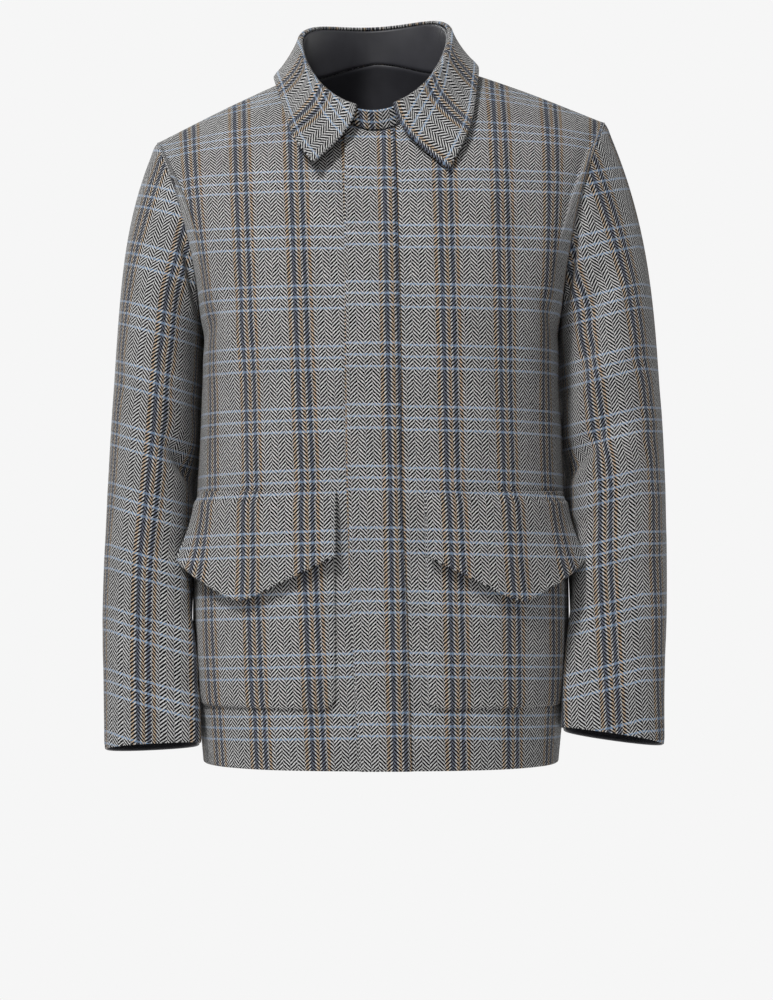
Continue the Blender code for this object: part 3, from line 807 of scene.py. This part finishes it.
def fold_depth(folds, turn, height):
    """Outward movement of the cloth at the folds of a sleeve."""
    depth = np.zeros(np.broadcast(turn, height).shape)
    for fold in folds:
        slope = np.radians(fold.slope)
        swing = (turn - np.radians(fold.turn) + np.pi) % (2 * np.pi) - np.pi
        around = swing / (2 * np.pi) * SLEEVE_GIRTH
        rise = height - fold.height
        way = around * np.cos(slope) + rise * np.sin(slope)
        across = rise * np.cos(slope) - around * np.sin(slope)
        depth += fold.depth * bump(way / fold.half_length) * bump(across / fold.half_width)
    return depth


def sleeve_ring(height, turn, side):
    """A ring of the arm: turn 0 outside, a quarter turn at the front."""
    table = SLEEVE_RINGS[::-1]
    cuff = CUFF_LEFT if side > 0 else CUFF_RIGHT
    outer = smooth(table, "outer_left" if side > 0 else "outer_right", height)
    inner, ahead, behind, tuck, lap = (smooth(table, c, height) for c in table[0]._fields[3:])
    c = np.cos(turn)
    s = np.sin(turn)
    x = (outer - inner) / 2 * np.sign(c) * np.abs(c) ** (2 / SLEEVE_SQUARENESS)
    x = x - INNER_SHIFT * np.maximum(-c, 0.0) * np.where(s < 0, tuck, lap) * s ** 2
    y = (ahead - behind) / 2 * np.sign(s) * np.abs(s) ** (2 / SLEEVE_SQUARENESS)
    lean = ease((SLEEVE_RINGS[2].height - height) / (SLEEVE_RINGS[2].height - cuff.height))
    z = height - lean * (cuff.lean_out * x + cuff.lean_back * y)
    return points(side * ((outer + inner) / 2 + x), (ahead + behind) / 2 + y, z)


def cap_across(cap, outer):
    """Level distances round the sleeve cap from its outer column, so that its cloth hangs plumb."""
    levels = np.linspace(cap[..., 2].min(), cap[..., 2].max(), CAP_LEVELS)
    spots = np.array([
        [np.interp(levels, column[::-1, 2], column[::-1, axis]) for axis in (0, 1)]
        for column in np.moveaxis(cap, 1, 0)
    ])
    way = along(np.moveaxis(spots, 2, 0), 1)
    way -= way[:, [outer]]
    return np.stack([np.interp(cap[:, c, 2], levels, way[:, c]) for c in range(cap.shape[1])], axis=1)


def sleeve_cloth(grid, cap_rows, turn, side):
    """Cloth coordinates round and along a sleeve, opened along its inner side."""
    lines = SLEEVE_LINES_LEFT if side > 0 else SLEEVE_LINES_RIGHT
    whole = np.concatenate((grid, grid[:, :1]), axis=1)
    around = along(whole, 1)
    height = grid[..., 2].mean(axis=1)
    set_x = smooth(SET_PATHS, "left" if side > 0 else "right", height)
    ahead = np.sin(turn) > 0.05
    u = np.empty(around.shape)
    for r, row in enumerate(grid):
        order = np.argsort(side * row[ahead, 0])
        at = np.interp(set_x[r], side * row[ahead, 0][order], around[r, :-1][ahead][order])
        u[r] = SET_MIDDLE - side * (around[r] - at)
    outer = len(turn) // 2
    u[:cap_rows] = u[cap_rows, outer] - side * cap_across(whole[:cap_rows + 1], outer)[:-1]
    inward = np.maximum(lines.tilt_from - np.abs(whole[..., 0]), 0.0)
    v = (whole[..., 2] - lines.height) / SLEEVE_LINE_STRETCH + lines.tilt * inward
    return np.stack((u, v), axis=-1)


def sleeve(name, node, side, folds, finishes):
    """A set-in sleeve: a cap that falls from the armhole, then rings down to the cuff."""
    turn = np.pi + np.linspace(0.0, 2 * np.pi, SLEEVE_COLUMNS, endpoint=False)
    away_from_body = np.array((0.98 * side, 0.0, -0.2))
    seam = armhole(turn, side) + SEAM * away_from_body
    bicep = sleeve_ring(SLEEVE_RINGS[0].height, turn, side)
    reach = 0.36 * np.linalg.norm(bicep - seam, axis=-1)[:, None]
    from_armpit = np.abs((turn % (2 * np.pi)) - np.pi)
    spread = 0.41 * ease((from_armpit - 0.35) / 0.9)
    leave = seam + reach * points(spread * side, 0.0, -0.91)
    arrive = bicep + reach * np.array((-0.07 * side, 0.0, 1.0))
    cap = [bezier(seam, leave, arrive, bicep, f) for f in np.linspace(0.0, 1.0, CAP_ROWS, endpoint=False)]
    end = CUFF_LEFT.height if side > 0 else CUFF_RIGHT.height
    arm = [sleeve_ring(h, turn, side) for h in np.linspace(SLEEVE_RINGS[0].height, end, ARM_ROWS)]
    grid = np.array(cap + arm)
    outward = side * outward_of(grid, closed=True)
    from_seam = along(grid, 0)
    fade = ease(from_seam / SLEEVE_FOLD_FADE)
    depth = fade * fold_depth(folds, turn[None, :], grid[..., 2]) + seam_pinch(from_seam)
    degrees = np.degrees(turn) % 360
    for drag in SEAM_DRAGS:
        window = bump((degrees - drag.turn) / drag.half_turn)
        depth += drag.depth * window * bump((from_seam - drag.away) / drag.half_width)
    to_cuff = from_seam[-1] - from_seam
    depth -= CUFF_DRAW * bump(to_cuff / CUFF_DRAW_WIDTH)
    grid = grid + depth[..., None] * outward
    outward = side * outward_of(grid, closed=True)
    outward[0] = armhole_outward(turn, side)
    uv = sleeve_cloth(grid, len(cap), turn, side)
    return cloth(name, node, grid, outward, WOOL, uv, finishes, closed=True)


# Pieces that lie on the fronts

def facing_front(grid):
    """Directions out of a grid on the fronts, whichever way its rows and columns run."""
    outward = outward_of(grid)
    return outward * np.sign(np.sum(outward * FRONTWARD, axis=-1, keepdims=True))


def on_front(grid):
    """Directions out of the fronts and the movement of their folds, for what lies on them."""
    return facing_front(grid), body_fold_depth(FRONT_FOLDS, grid)


def strip_grid(edges, columns, top_trim):
    """Points of a strip along the closing, cut short at the top, with its cloth distances."""
    shares = []
    for row in BODY_ROWS:
        start, end = edges(row)
        shares.append(np.linspace(start, end, columns) / panel_length(row.height, "front"))
    grid = np.array([panel_row(share, row, "front") for row, share in zip(BODY_ROWS, shares)])
    across, up = cloth_on_body(grid, shares, BODY_ROWS, "front")
    keep = int(np.sum(up[-1].min() - up.min(axis=1) > top_trim))
    return grid[:keep], across[:keep], up[:keep]


def placket_edges(row):
    return smooth(CLOSINGS, "free", row.height), smooth(CLOSINGS, "sewn", row.height)


def placket(finishes):
    """The covering strip: its free edge stands, and its sewn edge sinks into the left front."""
    grid, across, up = strip_grid(placket_edges, PLACKET_COLUMNS, PLACKET_TRIM)
    outward, folds = on_front(grid)
    to_sewn = across[:, -1:] - across
    from_free = across - across[:, :1]
    sink = bump(to_sewn / PLACKET_SINK_WIDTH)
    waver = 0.0004 * np.sin(up / 0.021) + 0.0003 * np.sin(up / 0.0083 + 1.0)
    lift = PLACKET_LAP + DOUBLED - PLACKET_SINK * sink + waver * bump((from_free - 0.004) / 0.010)
    lift += PLACKET_TOP_LIFT * bump((up[-1] - up - 0.005) / 0.003)
    thickness = DOUBLED - PLACKET_THINNING * sink
    grid = grid + (lift + folds)[..., None] * outward
    return cloth("placket_cloth", "placket", grid, outward_of(grid), thickness,
                 checked(across, up, PLACKET_GRAIN), finishes)


def chain_edges(row):
    middle = closing_middle(row)
    return middle - CHAIN_HALF, middle + CHAIN_HALF


def tape_edges(side, row):
    near = closing_middle(row) + side * (CHAIN_HALF + SEAM)
    far = near + side * TAPE_WIDTH
    return min(near, far), max(near, far)


def zip_tape(name, node, side, finishes):
    grid, across, up = strip_grid(partial(tape_edges, side), 8, ZIP_TRIM)
    outward, folds = on_front(grid)
    grid = grid + (folds - WOOL - 2 * SEAM)[..., None] * outward
    uv = np.stack((across, up), axis=-1)
    return cloth(name, node, grid, outward, TAPE, uv, finishes)


def capped_tube(bm, rings):
    """Faces round rings of points, closed at both ends."""
    rings = [[bm.verts.new(point) for point in ring_points] for ring_points in rings]
    for a, b in zip(rings, rings[1:]):
        for k in range(len(a)):
            after = (k + 1) % len(a)
            bm.faces.new((a[k], a[after], b[after], b[k]))
    bm.faces.new(rings[0])
    bm.faces.new(rings[-1])


def solid_mesh(name, bm, finish):
    """The mesh of many small solids in one finish."""
    bmesh.ops.recalc_face_normals(bm, faces=bm.faces)
    mesh = bpy.data.meshes.new(name)
    bm.to_mesh(mesh)
    bm.free()
    mesh.materials.append(finish)
    return mesh


def zip_teeth(finish):
    """Two rows of closed teeth, from one side and the other in turn."""
    grid = strip_grid(chain_edges, 3, ZIP_TRIM)[0]
    outward, folds = on_front(grid)
    grid = grid + (folds - SEAM - CHAIN_DEEP / 2)[..., None] * outward
    way = along(grid[:, 1], 0)
    stations = np.arange(TOOTH_PITCH, way[-1] - TOOTH_PITCH / 2, TOOTH_PITCH / 2)
    bm = bmesh.new()
    for number, at in enumerate(stations):
        left, middle, right, out = (
            np.array([np.interp(at, way, line[:, axis]) for axis in range(3)])
            for line in (grid[:, 0], grid[:, 1], grid[:, 2], outward[:, 1])
        )
        side = right - left if number % 2 else left - right
        reach = 0.44 * side
        width = unit(np.cross(side, out)) * TOOTH_PITCH * 0.21
        deep = unit(out) * CHAIN_DEEP * 0.45
        base = middle - 0.10 * side
        capped_tube(bm, [
            [base + reach * end.reach + width * end.width * w + deep * end.depth * d
             for w, d in ((-1, -1), (1, -1), (1, 1), (-1, 1))]
            for end in TOOTH_ENDS
        ])
    piece = place("zip_teeth", solid_mesh("zip_teeth", bm, finish), "zip_chain")
    bevel = piece.modifiers.new("rounded edges", "BEVEL")
    bevel.width = TOOTH_BEVEL
    bevel.segments = 1
    return piece


def pocket(name, node, side, grain, finishes):
    """A patch pocket, pressed down along its sewn sides and bottom."""
    distances = np.linspace(POCKET_INNER, POCKET_OUTER, POCKET_COLUMNS)
    corner_reach = 0.06 * (POCKET_OUTER - POCKET_INNER)
    from_side = np.minimum(distances - POCKET_INNER, POCKET_OUTER - distances)
    corner = POCKET_CORNER * ease(1 - from_side / corner_reach)
    grid = []
    heights = np.linspace(POCKET_BOTTOM, POCKET_TOP, POCKET_ROWS)
    for f, height in zip(np.linspace(0.0, 1.0, POCKET_ROWS), heights):
        row = ring(height, side * distances / panel_length(height, "front"), "front")
        row[:, 2] += corner * (1 - f) ** 3
        grid.append(row)
    grid = np.array(grid)[:, ::side]
    outward, folds = on_front(grid)
    across = np.broadcast_to(side * distances[::side], grid.shape[:2])
    up = grid[..., 2]
    to_edge = np.minimum(from_side[::side][None, :], up - POCKET_BOTTOM)
    press = bump(to_edge / POCKET_PRESS_WIDTH)
    fill = ease(from_side[::side][None, :] / 0.05) * ease((up - POCKET_BOTTOM) / 0.06)
    waver = POCKET_WAVER * np.sin(across / 0.017 + 0.6) * np.sin(up / 0.024)
    lift = POCKET_LAP + DOUBLED - POCKET_PRESS * press + fill * (POCKET_FILL + waver)
    grid = grid + (lift + folds)[..., None] * outward
    thickness = DOUBLED - POCKET_THINNING * press
    return cloth(name, node, grid, outward_of(grid), thickness, checked(across, up, grain), finishes)


def flap_depth(across):
    """How deep a flap hangs at shares of its width: pointed near the middle, with rounded corners."""
    ramp = 1 - np.sqrt(((across - FLAP_MIDDLE) / 0.5) ** 2 + 0.012)
    depth = FLAP_SIDE + (FLAP_TIP - FLAP_SIDE) * np.clip(ramp / 0.89, 0.0, 1.0)
    from_side = np.minimum(across, 1 - across)
    return depth - FLAP_CORNER * ease(1 - from_side / FLAP_CORNER_SHARE)


def flap_surface(side, below, across):
    """Outside points of a pocket flap at lengths below its top, with their distances and heights."""
    width = POCKET_OUTER - POCKET_INNER + FLAP_EXTRA_WIDTH
    distances = POCKET_INNER - FLAP_OVERHANG + width * across
    depth = flap_depth(across)
    heights = FLAP_TOP - below
    lengths = np.interp(heights, *flap_lengths())
    grid = np.empty(below.shape + (3,))
    for r, row in enumerate(heights):
        for c, height in enumerate(row):
            grid[r, c] = ring(height, np.array([side * distances[c] / lengths[r, c]]), "front")[0]
    outward, folds = on_front(grid)
    drop = below / depth
    over_pocket = (DOUBLED + POCKET_LAP + LAP) * ease((below / FLAP_ROOT - 0.4) / 0.6)
    flare = (FLAP_FLARE + FLAP_CORNER_FLARE * ease((across - 0.6) / 0.4)) * drop ** 2
    stitched = -FLAP_STITCH_SINK * bump((below - FLAP_STITCH_LINE) / FLAP_STITCH_SINK)
    belly = FLAP_BELLY * bump((below - 0.042) / 0.022) * bump((across - 0.45) / 0.4)
    lift = LAP + DOUBLED + over_pocket + flare + stitched + belly
    return grid + (lift + folds)[..., None] * outward, distances, heights


def flap_lengths():
    """Heights down a flap and the front's length from the middle to the side seam at each."""
    heights = np.linspace(FLAP_TOP - FLAP_TIP - 0.01, FLAP_TOP + 0.01, 30)
    return heights, np.array([panel_length(h, "front") for h in heights])


def flap(name, node, side, grain, finishes):
    """A pointed pocket flap, with closer rows by its sewn line."""
    across = np.linspace(0.0, 1.0, FLAP_COLUMNS)
    fractions = np.concatenate((np.linspace(0.0, 0.16, 15)[:-1], np.linspace(0.16, 1.0, 34)))
    grid, distances, heights = flap_surface(side, fractions[:, None] * flap_depth(across), across)
    grid = grid[::-1, ::side]
    uv = checked(np.broadcast_to(side * distances[::side], heights.shape), heights[::-1, ::side], grain)
    return cloth(name, node, grid, outward_of(grid), DOUBLED, uv, finishes)


def stitches(name, line, outward, finish):
    """A row of sewn stitches along a line of points: short round threads that dip at both ends."""
    way = along(line, 0)
    bm = bmesh.new()
    for at in np.arange(STITCH_PITCH, way[-1] - STITCH_PITCH, STITCH_PITCH):
        start, end, out = (
            np.array([np.interp(station, way, values[:, axis]) for axis in range(3)])
            for station, values in ((at, line), (at + STITCH_LENGTH, line), (at, outward))
        )
        across = np.cross(unit(end - start), out)
        rings = []
        for share, size, rise in STITCH_RINGS:
            centre = start + (end - start) * share + out * STITCH_RADIUS * rise
            rings.append([
                centre + STITCH_RADIUS * size * (across * np.cos(a) + out * np.sin(a))
                for a in np.linspace(0.0, 2 * np.pi, STITCH_SIDES, endpoint=False)
            ])
        capped_tube(bm, rings)
    return place(name, solid_mesh(name, bm, finish), None)


def flap_stitches(name, side, finish):
    """The sewn line below a flap's top edge."""
    across = np.linspace(0.02, 0.98, 90)
    below = FLAP_STITCH_LINE + np.array((-0.001, 0.0, 0.001))[:, None] + 0 * across
    grid = flap_surface(side, below, across)[0]
    return stitches(name, grid[1], facing_front(grid)[1], finish)


# Collar

def stand(finishes):
    """The collar stand, whose left end laps over its right end at the front."""
    turn = np.radians(np.linspace(*STAND_ENDS, STAND_COLUMNS))
    over = ease((34 - np.degrees(turn)) / 24)[:, None]
    out = away(turn)
    base = neck_edge(turn) + 1.3 * SEAM * unit(UP - out) + 4 * over * (1 - over) * STAND_RISE * UP
    top = loop(FOLD, turn)
    grid = np.array([base * (1 - f) + top * f for f in np.linspace(0.0, 1.0, STAND_ROWS)])
    outward = outward_of(grid)
    outward[0] = unit(out + (1 - over) * UP)
    grid += STAND_LAP * over * out
    uv = np.stack((np.broadcast_to(along(grid, 1)[:1], grid.shape[:2]), along(grid, 0) + 0.030), axis=-1)
    return cloth("stand_cloth", "collar_stand", grid, outward, WOOL, uv, finishes)


def leaf_edge(turn):
    """The leaf's outer edge: the left half, then the right half back to the front."""
    degrees = np.degrees(turn)
    left = [smooth(LEAF_LEFT, c, degrees) for c in ("x", "y", "z")]
    right = [smooth(LEAF_RIGHT, c, 360 - degrees) for c in ("x", "y", "z")]
    on_left = degrees <= 180
    x = np.where(on_left, left[0], -right[0])
    return points(NECK_X + x, np.where(on_left, left[1], right[1]), np.where(on_left, left[2], right[2]))


def leaf(finishes):
    """The collar leaf, which rolls over the stand's top edge and falls to its outer edge."""
    turn = np.radians(np.linspace(LEAF_END, 360 - LEAF_END, LEAF_COLUMNS))
    out = away(turn)
    ahead = ease((np.cos(turn)[:, None] - 0.2) / 0.6)
    fold = loop(FOLD, turn) + ahead * STAND_LAP * out
    crown = fold + (2 * SEAM + DOUBLED + ahead * SEAM * 2) * UP - 0.0010 * out
    roll = fold + LEAF_ROLL * out + (LEAF_ROLL / 2 + ahead * SEAM * 2) * UP
    edge = leaf_edge(turn)
    span = np.linalg.norm(edge - roll, axis=-1)[:, None]
    leave = roll + 0.30 * span * unit(0.35 * out - UP)
    arrive = edge - 0.35 * span * unit(edge - leave)
    fall = [bezier(roll, leave, arrive, edge, f) for f in np.linspace(0.0, 1.0, LEAF_ROWS)]
    bend = []
    for f in np.linspace(0.0, 1.0, LEAF_ROLL_ROWS)[:-1]:
        rounding = LEAF_ROLL_ROUND * np.sin(np.pi * f) * unit(UP + out)
        bend.append(crown * (1 - f) + roll * f + rounding)
    grid = np.array(bend + fall)[::-1]
    outward = outward_of(grid)
    outward[-1] = UP
    from_edge = along(grid, 0)
    depth = np.zeros(grid.shape[:2])
    for fold_line in LEAF_FOLDS:
        depth += fold_line.depth * bump((np.degrees(turn)[None, :] - fold_line.turn) / fold_line.half_turn)
    depth *= ease(from_edge / 0.02) * ease((from_edge[-1] - from_edge) / 0.02)
    depth += LEAF_EDGE_STAND * bump((from_edge - 0.006) / 0.005)
    grid = grid + depth[..., None] * outward
    middle = along(grid, 1)[len(grid) // 2]
    u = np.broadcast_to(middle - middle[len(turn) // 2] + 0.012, grid.shape[:2])
    uv = np.stack((u, from_edge + LINE_PERIOD - 0.008), axis=-1)
    return cloth("collar_cloth", "collar_leaf", grid, outward, DOUBLED, uv, finishes)


# Finishes

class Value:
    """A socket of a finish, with arithmetic that adds Math nodes."""

    def __init__(self, finish, socket):
        self.finish = finish
        self.socket = socket

    def math(self, operation, *others):
        return self.finish.node("ShaderNodeMath", {"operation": operation}, dict(enumerate((self,) + others)))

    def __add__(self, other):
        return self.math("ADD", other)

    __radd__ = __add__

    def __mul__(self, other):
        return self.math("MULTIPLY", other)

    __rmul__ = __mul__

    def __sub__(self, other):
        return self.math("SUBTRACT", other)

    def __rsub__(self, other):
        return self.finish.node("ShaderNodeMath", {"operation": "SUBTRACT"}, {0: other, 1: self})

    def __truediv__(self, other):
        return self.math("DIVIDE", other)

    def __mod__(self, other):
        return self.math("FLOORED_MODULO", other)

    def __abs__(self):
        return self.math("ABSOLUTE")

    def step(self, start, end):
        """A soft step from 0 at start to 1 at end."""
        return self.finish.node(
            "ShaderNodeMapRange",
            {"interpolation_type": "SMOOTHSTEP"},
            {"Value": self, "From Min": start, "From Max": end},
        )

    def between(self, start, end, soft):
        """1 between start and end, with soft edges."""
        return self.step(start - soft, start + soft) * (1 - self.step(end - soft, end + soft))


class Finish:
    """A material whose nodes are added by name."""

    def __init__(self, name):
        self.material = bpy.data.materials.new(name)
        self.material.use_nodes = True
        self.nodes = self.material.node_tree.nodes
        self.links = self.material.node_tree.links
        self.shader = self.nodes["Principled BSDF"]

    def set(self, socket, value):
        if isinstance(value, Value):
            self.links.new(value.socket, socket)
        else:
            socket.default_value = value

    def node(self, kind, settings=None, inputs=None, output=0):
        made = self.nodes.new(kind)
        for name, value in (settings or {}).items():
            setattr(made, name, value)
        for name, value in (inputs or {}).items():
            self.set(made.inputs[name], value)
        return Value(self, made.outputs[output])

    def mix(self, first, second, factor):
        """A colour between two others."""
        return self.node("ShaderNodeMix", {"data_type": "RGBA"}, {0: factor, 6: first, 7: second}, output=2)

    def principled(self, **inputs):
        for name, value in inputs.items():
            self.set(self.shader.inputs[name.replace("_", " ")], value)

    def cloth_place(self):
        """Distances across and up the cloth, and both as a vector."""
        place_on_cloth = self.node("ShaderNodeUVMap", {"uv_map": "Cloth"})
        across = self.node("ShaderNodeSeparateXYZ", inputs={0: place_on_cloth})
        up = Value(self, across.socket.node.outputs[1])
        return across, up, place_on_cloth

    def spot(self):
        """Places in the piece's own frame."""
        return self.node("ShaderNodeTexCoord", output="Object")

    def mottle(self, vector, scale, detail=2.0):
        return self.node("ShaderNodeTexNoise", inputs={"Vector": vector, "Scale": scale, "Detail": detail})

    def raised(self, height, distance, strength=1.0):
        return self.node(
            "ShaderNodeBump", inputs={"Height": height, "Distance": distance, "Strength": strength}
        )


def wool_finish():
    """Herringbone wool: pale and striped yarns up, dark yarns with blue lines across."""
    wool = Finish("herringbone wool")
    across, up, vector = wool.cloth_place()
    uneven = wool.mottle(vector, YARN_CELLS)
    fuzz = wool.mottle(vector, FUZZ_CELLS, 3.0)
    broad = wool.mottle(vector, BROAD_CELLS)
    in_rib = across % (2 * RIB)
    broken = in_rib.step(RIB - RIB_SOFT, RIB + RIB_SOFT) * 0.5
    wander = (wool.mottle(vector, WANDER_CELLS) - 0.5) * TWILL_WANDER
    wave = abs(((up + wander + abs(in_rib - RIB)) / TWILL + broken) % 1.0 * 2.0 - 1.0)
    over = (wave + (uneven - 0.5) * 0.50).step(0.57, 0.64)
    in_set = across % SET_PERIOD
    tan = sum(in_set.between(s.start, s.end, STRIPE_SOFT) for s in TAN_STRIPES)
    navy = sum(in_set.between(s.start, s.end, STRIPE_SOFT) for s in NAVY_STRIPES)
    down = (LINE_WIDTH / 2 - up) % LINE_PERIOD
    past_triple = down.step(LINES_END, LINES_END + LINES_END_SOFT)
    line = (down % LINE_STEP).between(0.0, LINE_WIDTH, LINE_SOFT) * (1 - past_triple)
    upright = wool.mix(wool.mix(PALE_YARN, TAN_YARN, tan), NAVY_YARN, navy)
    level = wool.mix(DARK_YARN, BLUE_YARN, line)
    colour = wool.mix(level, upright, over)
    bright = 0.44 + fuzz * 0.80 + broad * 0.30
    colour = wool.node("ShaderNodeHueSaturation", inputs={"Color": colour, "Value": bright})
    height = over * 0.55 + fuzz * 0.7 + uneven * 0.3
    wool.principled(
        Base_Color=colour,
        Roughness=0.93,
        Specular_IOR_Level=0.12,
        Sheen_Weight=0.06,
        Sheen_Roughness=0.45,
        Normal=wool.raised(height, 0.0006, 0.8),
    )
    return wool.material


def lining_finish():
    """Smooth dark twill on the inside of the cloth."""
    lining = Finish("lining")
    across, up, vector = lining.cloth_place()
    wave = abs((up + across) / 0.0011 % 1.0 * 2.0 - 1.0)
    shade = lining.mottle(vector, 60.0)
    lining.principled(
        Base_Color=lining.mix(LINING_COLOUR, LINING_PALER, shade),
        Roughness=0.48 + wave * 0.12,
        Normal=lining.raised(wave, 0.0001, 0.5),
    )
    return lining.material


def tape_finish():
    """Dark ribbed ribbon."""
    tape = Finish("zip tape")
    across, up, _ = tape.cloth_place()
    ribs = abs(across / 0.0010 % 1.0 * 2.0 - 1.0) * 0.6 + abs(up / 0.0007 % 1.0 * 2.0 - 1.0) * 0.4
    tape.principled(
        Base_Color=tape.mix(TAPE_COLOUR, TAPE_PALER, ribs),
        Roughness=0.85,
        Normal=tape.raised(ribs, 0.0002, 0.7),
    )
    return tape.material


def metal_finish():
    """Dull grey metal, a little worn."""
    metal = Finish("zip metal")
    wear = metal.mottle(metal.spot(), 900.0)
    metal.principled(
        Base_Color=metal.mix(METAL_COLOUR, METAL_DARKER, wear),
        Metallic=1.0,
        Roughness=0.32 + wear * 0.2,
    )
    return metal.material


def thread_finish():
    """Dark sewing thread."""
    thread = Finish("thread")
    twist = thread.mottle(thread.spot(), 2500.0)
    thread.principled(
        Base_Color=thread.mix(THREAD_COLOUR, THREAD_PALER, twist),
        Roughness=0.8,
        Normal=thread.raised(twist, 0.0002, 0.6),
    )
    return thread.material


def floor_finish():
    """Matt pale paint that glows a little, so that the floor stays as light as the paper."""
    floor = Finish("pale floor")
    floor.principled(
        Base_Color=floor.mix(FLOOR_COLOUR, FLOOR_DARKER, floor.mottle(floor.spot(), 1.5)),
        Roughness=0.9,
        Specular_IOR_Level=0.1,
        Emission_Color=(1.0, 1.0, 1.0, 1.0),
        Emission_Strength=FLOOR_GLOW,
    )
    return floor.material


# Room

def area_light(lamp):
    """A square lamp that the camera doesn't see, turned to its aim."""
    light = bpy.data.lights.new(lamp.name, "AREA")
    light.size = lamp.size
    light.energy = lamp.power
    item = bpy.data.objects.new(lamp.name, light)
    item.location = lamp.place
    item.visible_camera = False
    bpy.context.collection.objects.link(item)
    way = np.array(LAMP_AIM) - np.array(lamp.place)
    flat = np.hypot(way[0], way[1])
    item.rotation_euler = (np.arctan2(flat, -way[2]), 0.0, np.arctan2(way[1], way[0]) - np.pi / 2)


def pale_floor():
    """A round floor below the jacket."""
    bm = bmesh.new()
    bmesh.ops.create_circle(bm, cap_ends=True, segments=96, radius=FLOOR_RADIUS)
    mesh = bpy.data.meshes.new("floor")
    bm.to_mesh(mesh)
    bm.free()
    mesh.materials.append(floor_finish())
    floor = bpy.data.objects.new("floor", mesh)
    floor.location = (0.0, 0.0, FLOOR_Z)
    bpy.context.collection.objects.link(floor)


def paper_around(world):
    """Pale paper all round, which lights the jacket less than it shows."""
    world.use_nodes = True
    nodes = world.node_tree.nodes
    links = world.node_tree.links
    shown = nodes["Background"]
    shown.inputs["Color"].default_value = (PAPER, PAPER, PAPER, 1.0)
    lit = nodes.new("ShaderNodeBackground")
    lit.inputs["Color"].default_value = (AMBIENT, AMBIENT, AMBIENT, 1.0)
    mix = nodes.new("ShaderNodeMixShader")
    links.new(nodes.new("ShaderNodeLightPath").outputs["Is Camera Ray"], mix.inputs[0])
    links.new(lit.outputs[0], mix.inputs[1])
    links.new(shown.outputs[0], mix.inputs[2])
    links.new(mix.outputs[0], nodes["World Output"].inputs["Surface"])


def studio():
    """The paper, lights, floor and camera."""
    scene = bpy.context.scene
    scene.view_settings.view_transform = "Standard"
    scene.world = bpy.data.worlds.new("studio")
    paper_around(scene.world)
    for lamp in LAMPS:
        area_light(lamp)
    pale_floor()
    camera = bpy.data.cameras.new("camera")
    camera.lens = CAMERA_LENS
    camera.sensor_width = CAMERA_SENSOR
    view = bpy.data.objects.new("camera", camera)
    view.location = CAMERA_PLACE
    view.rotation_euler = (np.pi / 2, 0.0, 0.0)
    bpy.context.collection.objects.link(view)
    scene.camera = view


def jacket():
    """Every piece of the jacket."""
    wool = wool_finish()
    lining = lining_finish()
    tape = tape_finish()
    thread = thread_finish()
    lined = (wool, lining)
    right = panel("right_front_cloth", "front_right", partial(front_columns, -1), "front",
                  FRONT_FOLDS, RIGHT_GRAIN, lined)
    left = panel("left_front_cloth", "front_left", partial(front_columns, 1), "front",
                 FRONT_FOLDS, LEFT_GRAIN, lined)
    back = panel("back_cloth", "back", back_columns, "back", BACK_FOLDS, BACK_GRAIN, lined)
    right_sleeve = sleeve("right_sleeve_cloth", "sleeve_right", -1, FOLDS_RIGHT + SOFT_FOLDS_RIGHT, lined)
    left_sleeve = sleeve("left_sleeve_cloth", "sleeve_left", 1, FOLDS_LEFT + SOFT_FOLDS_LEFT, lined)
    band = stand(lined)
    collar = leaf((wool,))
    fly = placket((wool,))
    for side, word, grain in ((-1, "right", RIGHT_GRAIN), (1, "left", LEFT_GRAIN)):
        patch = pocket(word + "_pocket_cloth", "pocket_" + word, side, grain, (wool,))
        cover = flap(word + "_flap_cloth", "flap_" + word, side, grain, (wool,))
        sewing = flap_stitches(word + "_flap_stitches", side, thread)
        ribbon = zip_tape(word + "_zip_tape_cloth", "zip_tape_" + word, side, (tape,))
    zip_teeth(metal_finish())


jacket()
studio()
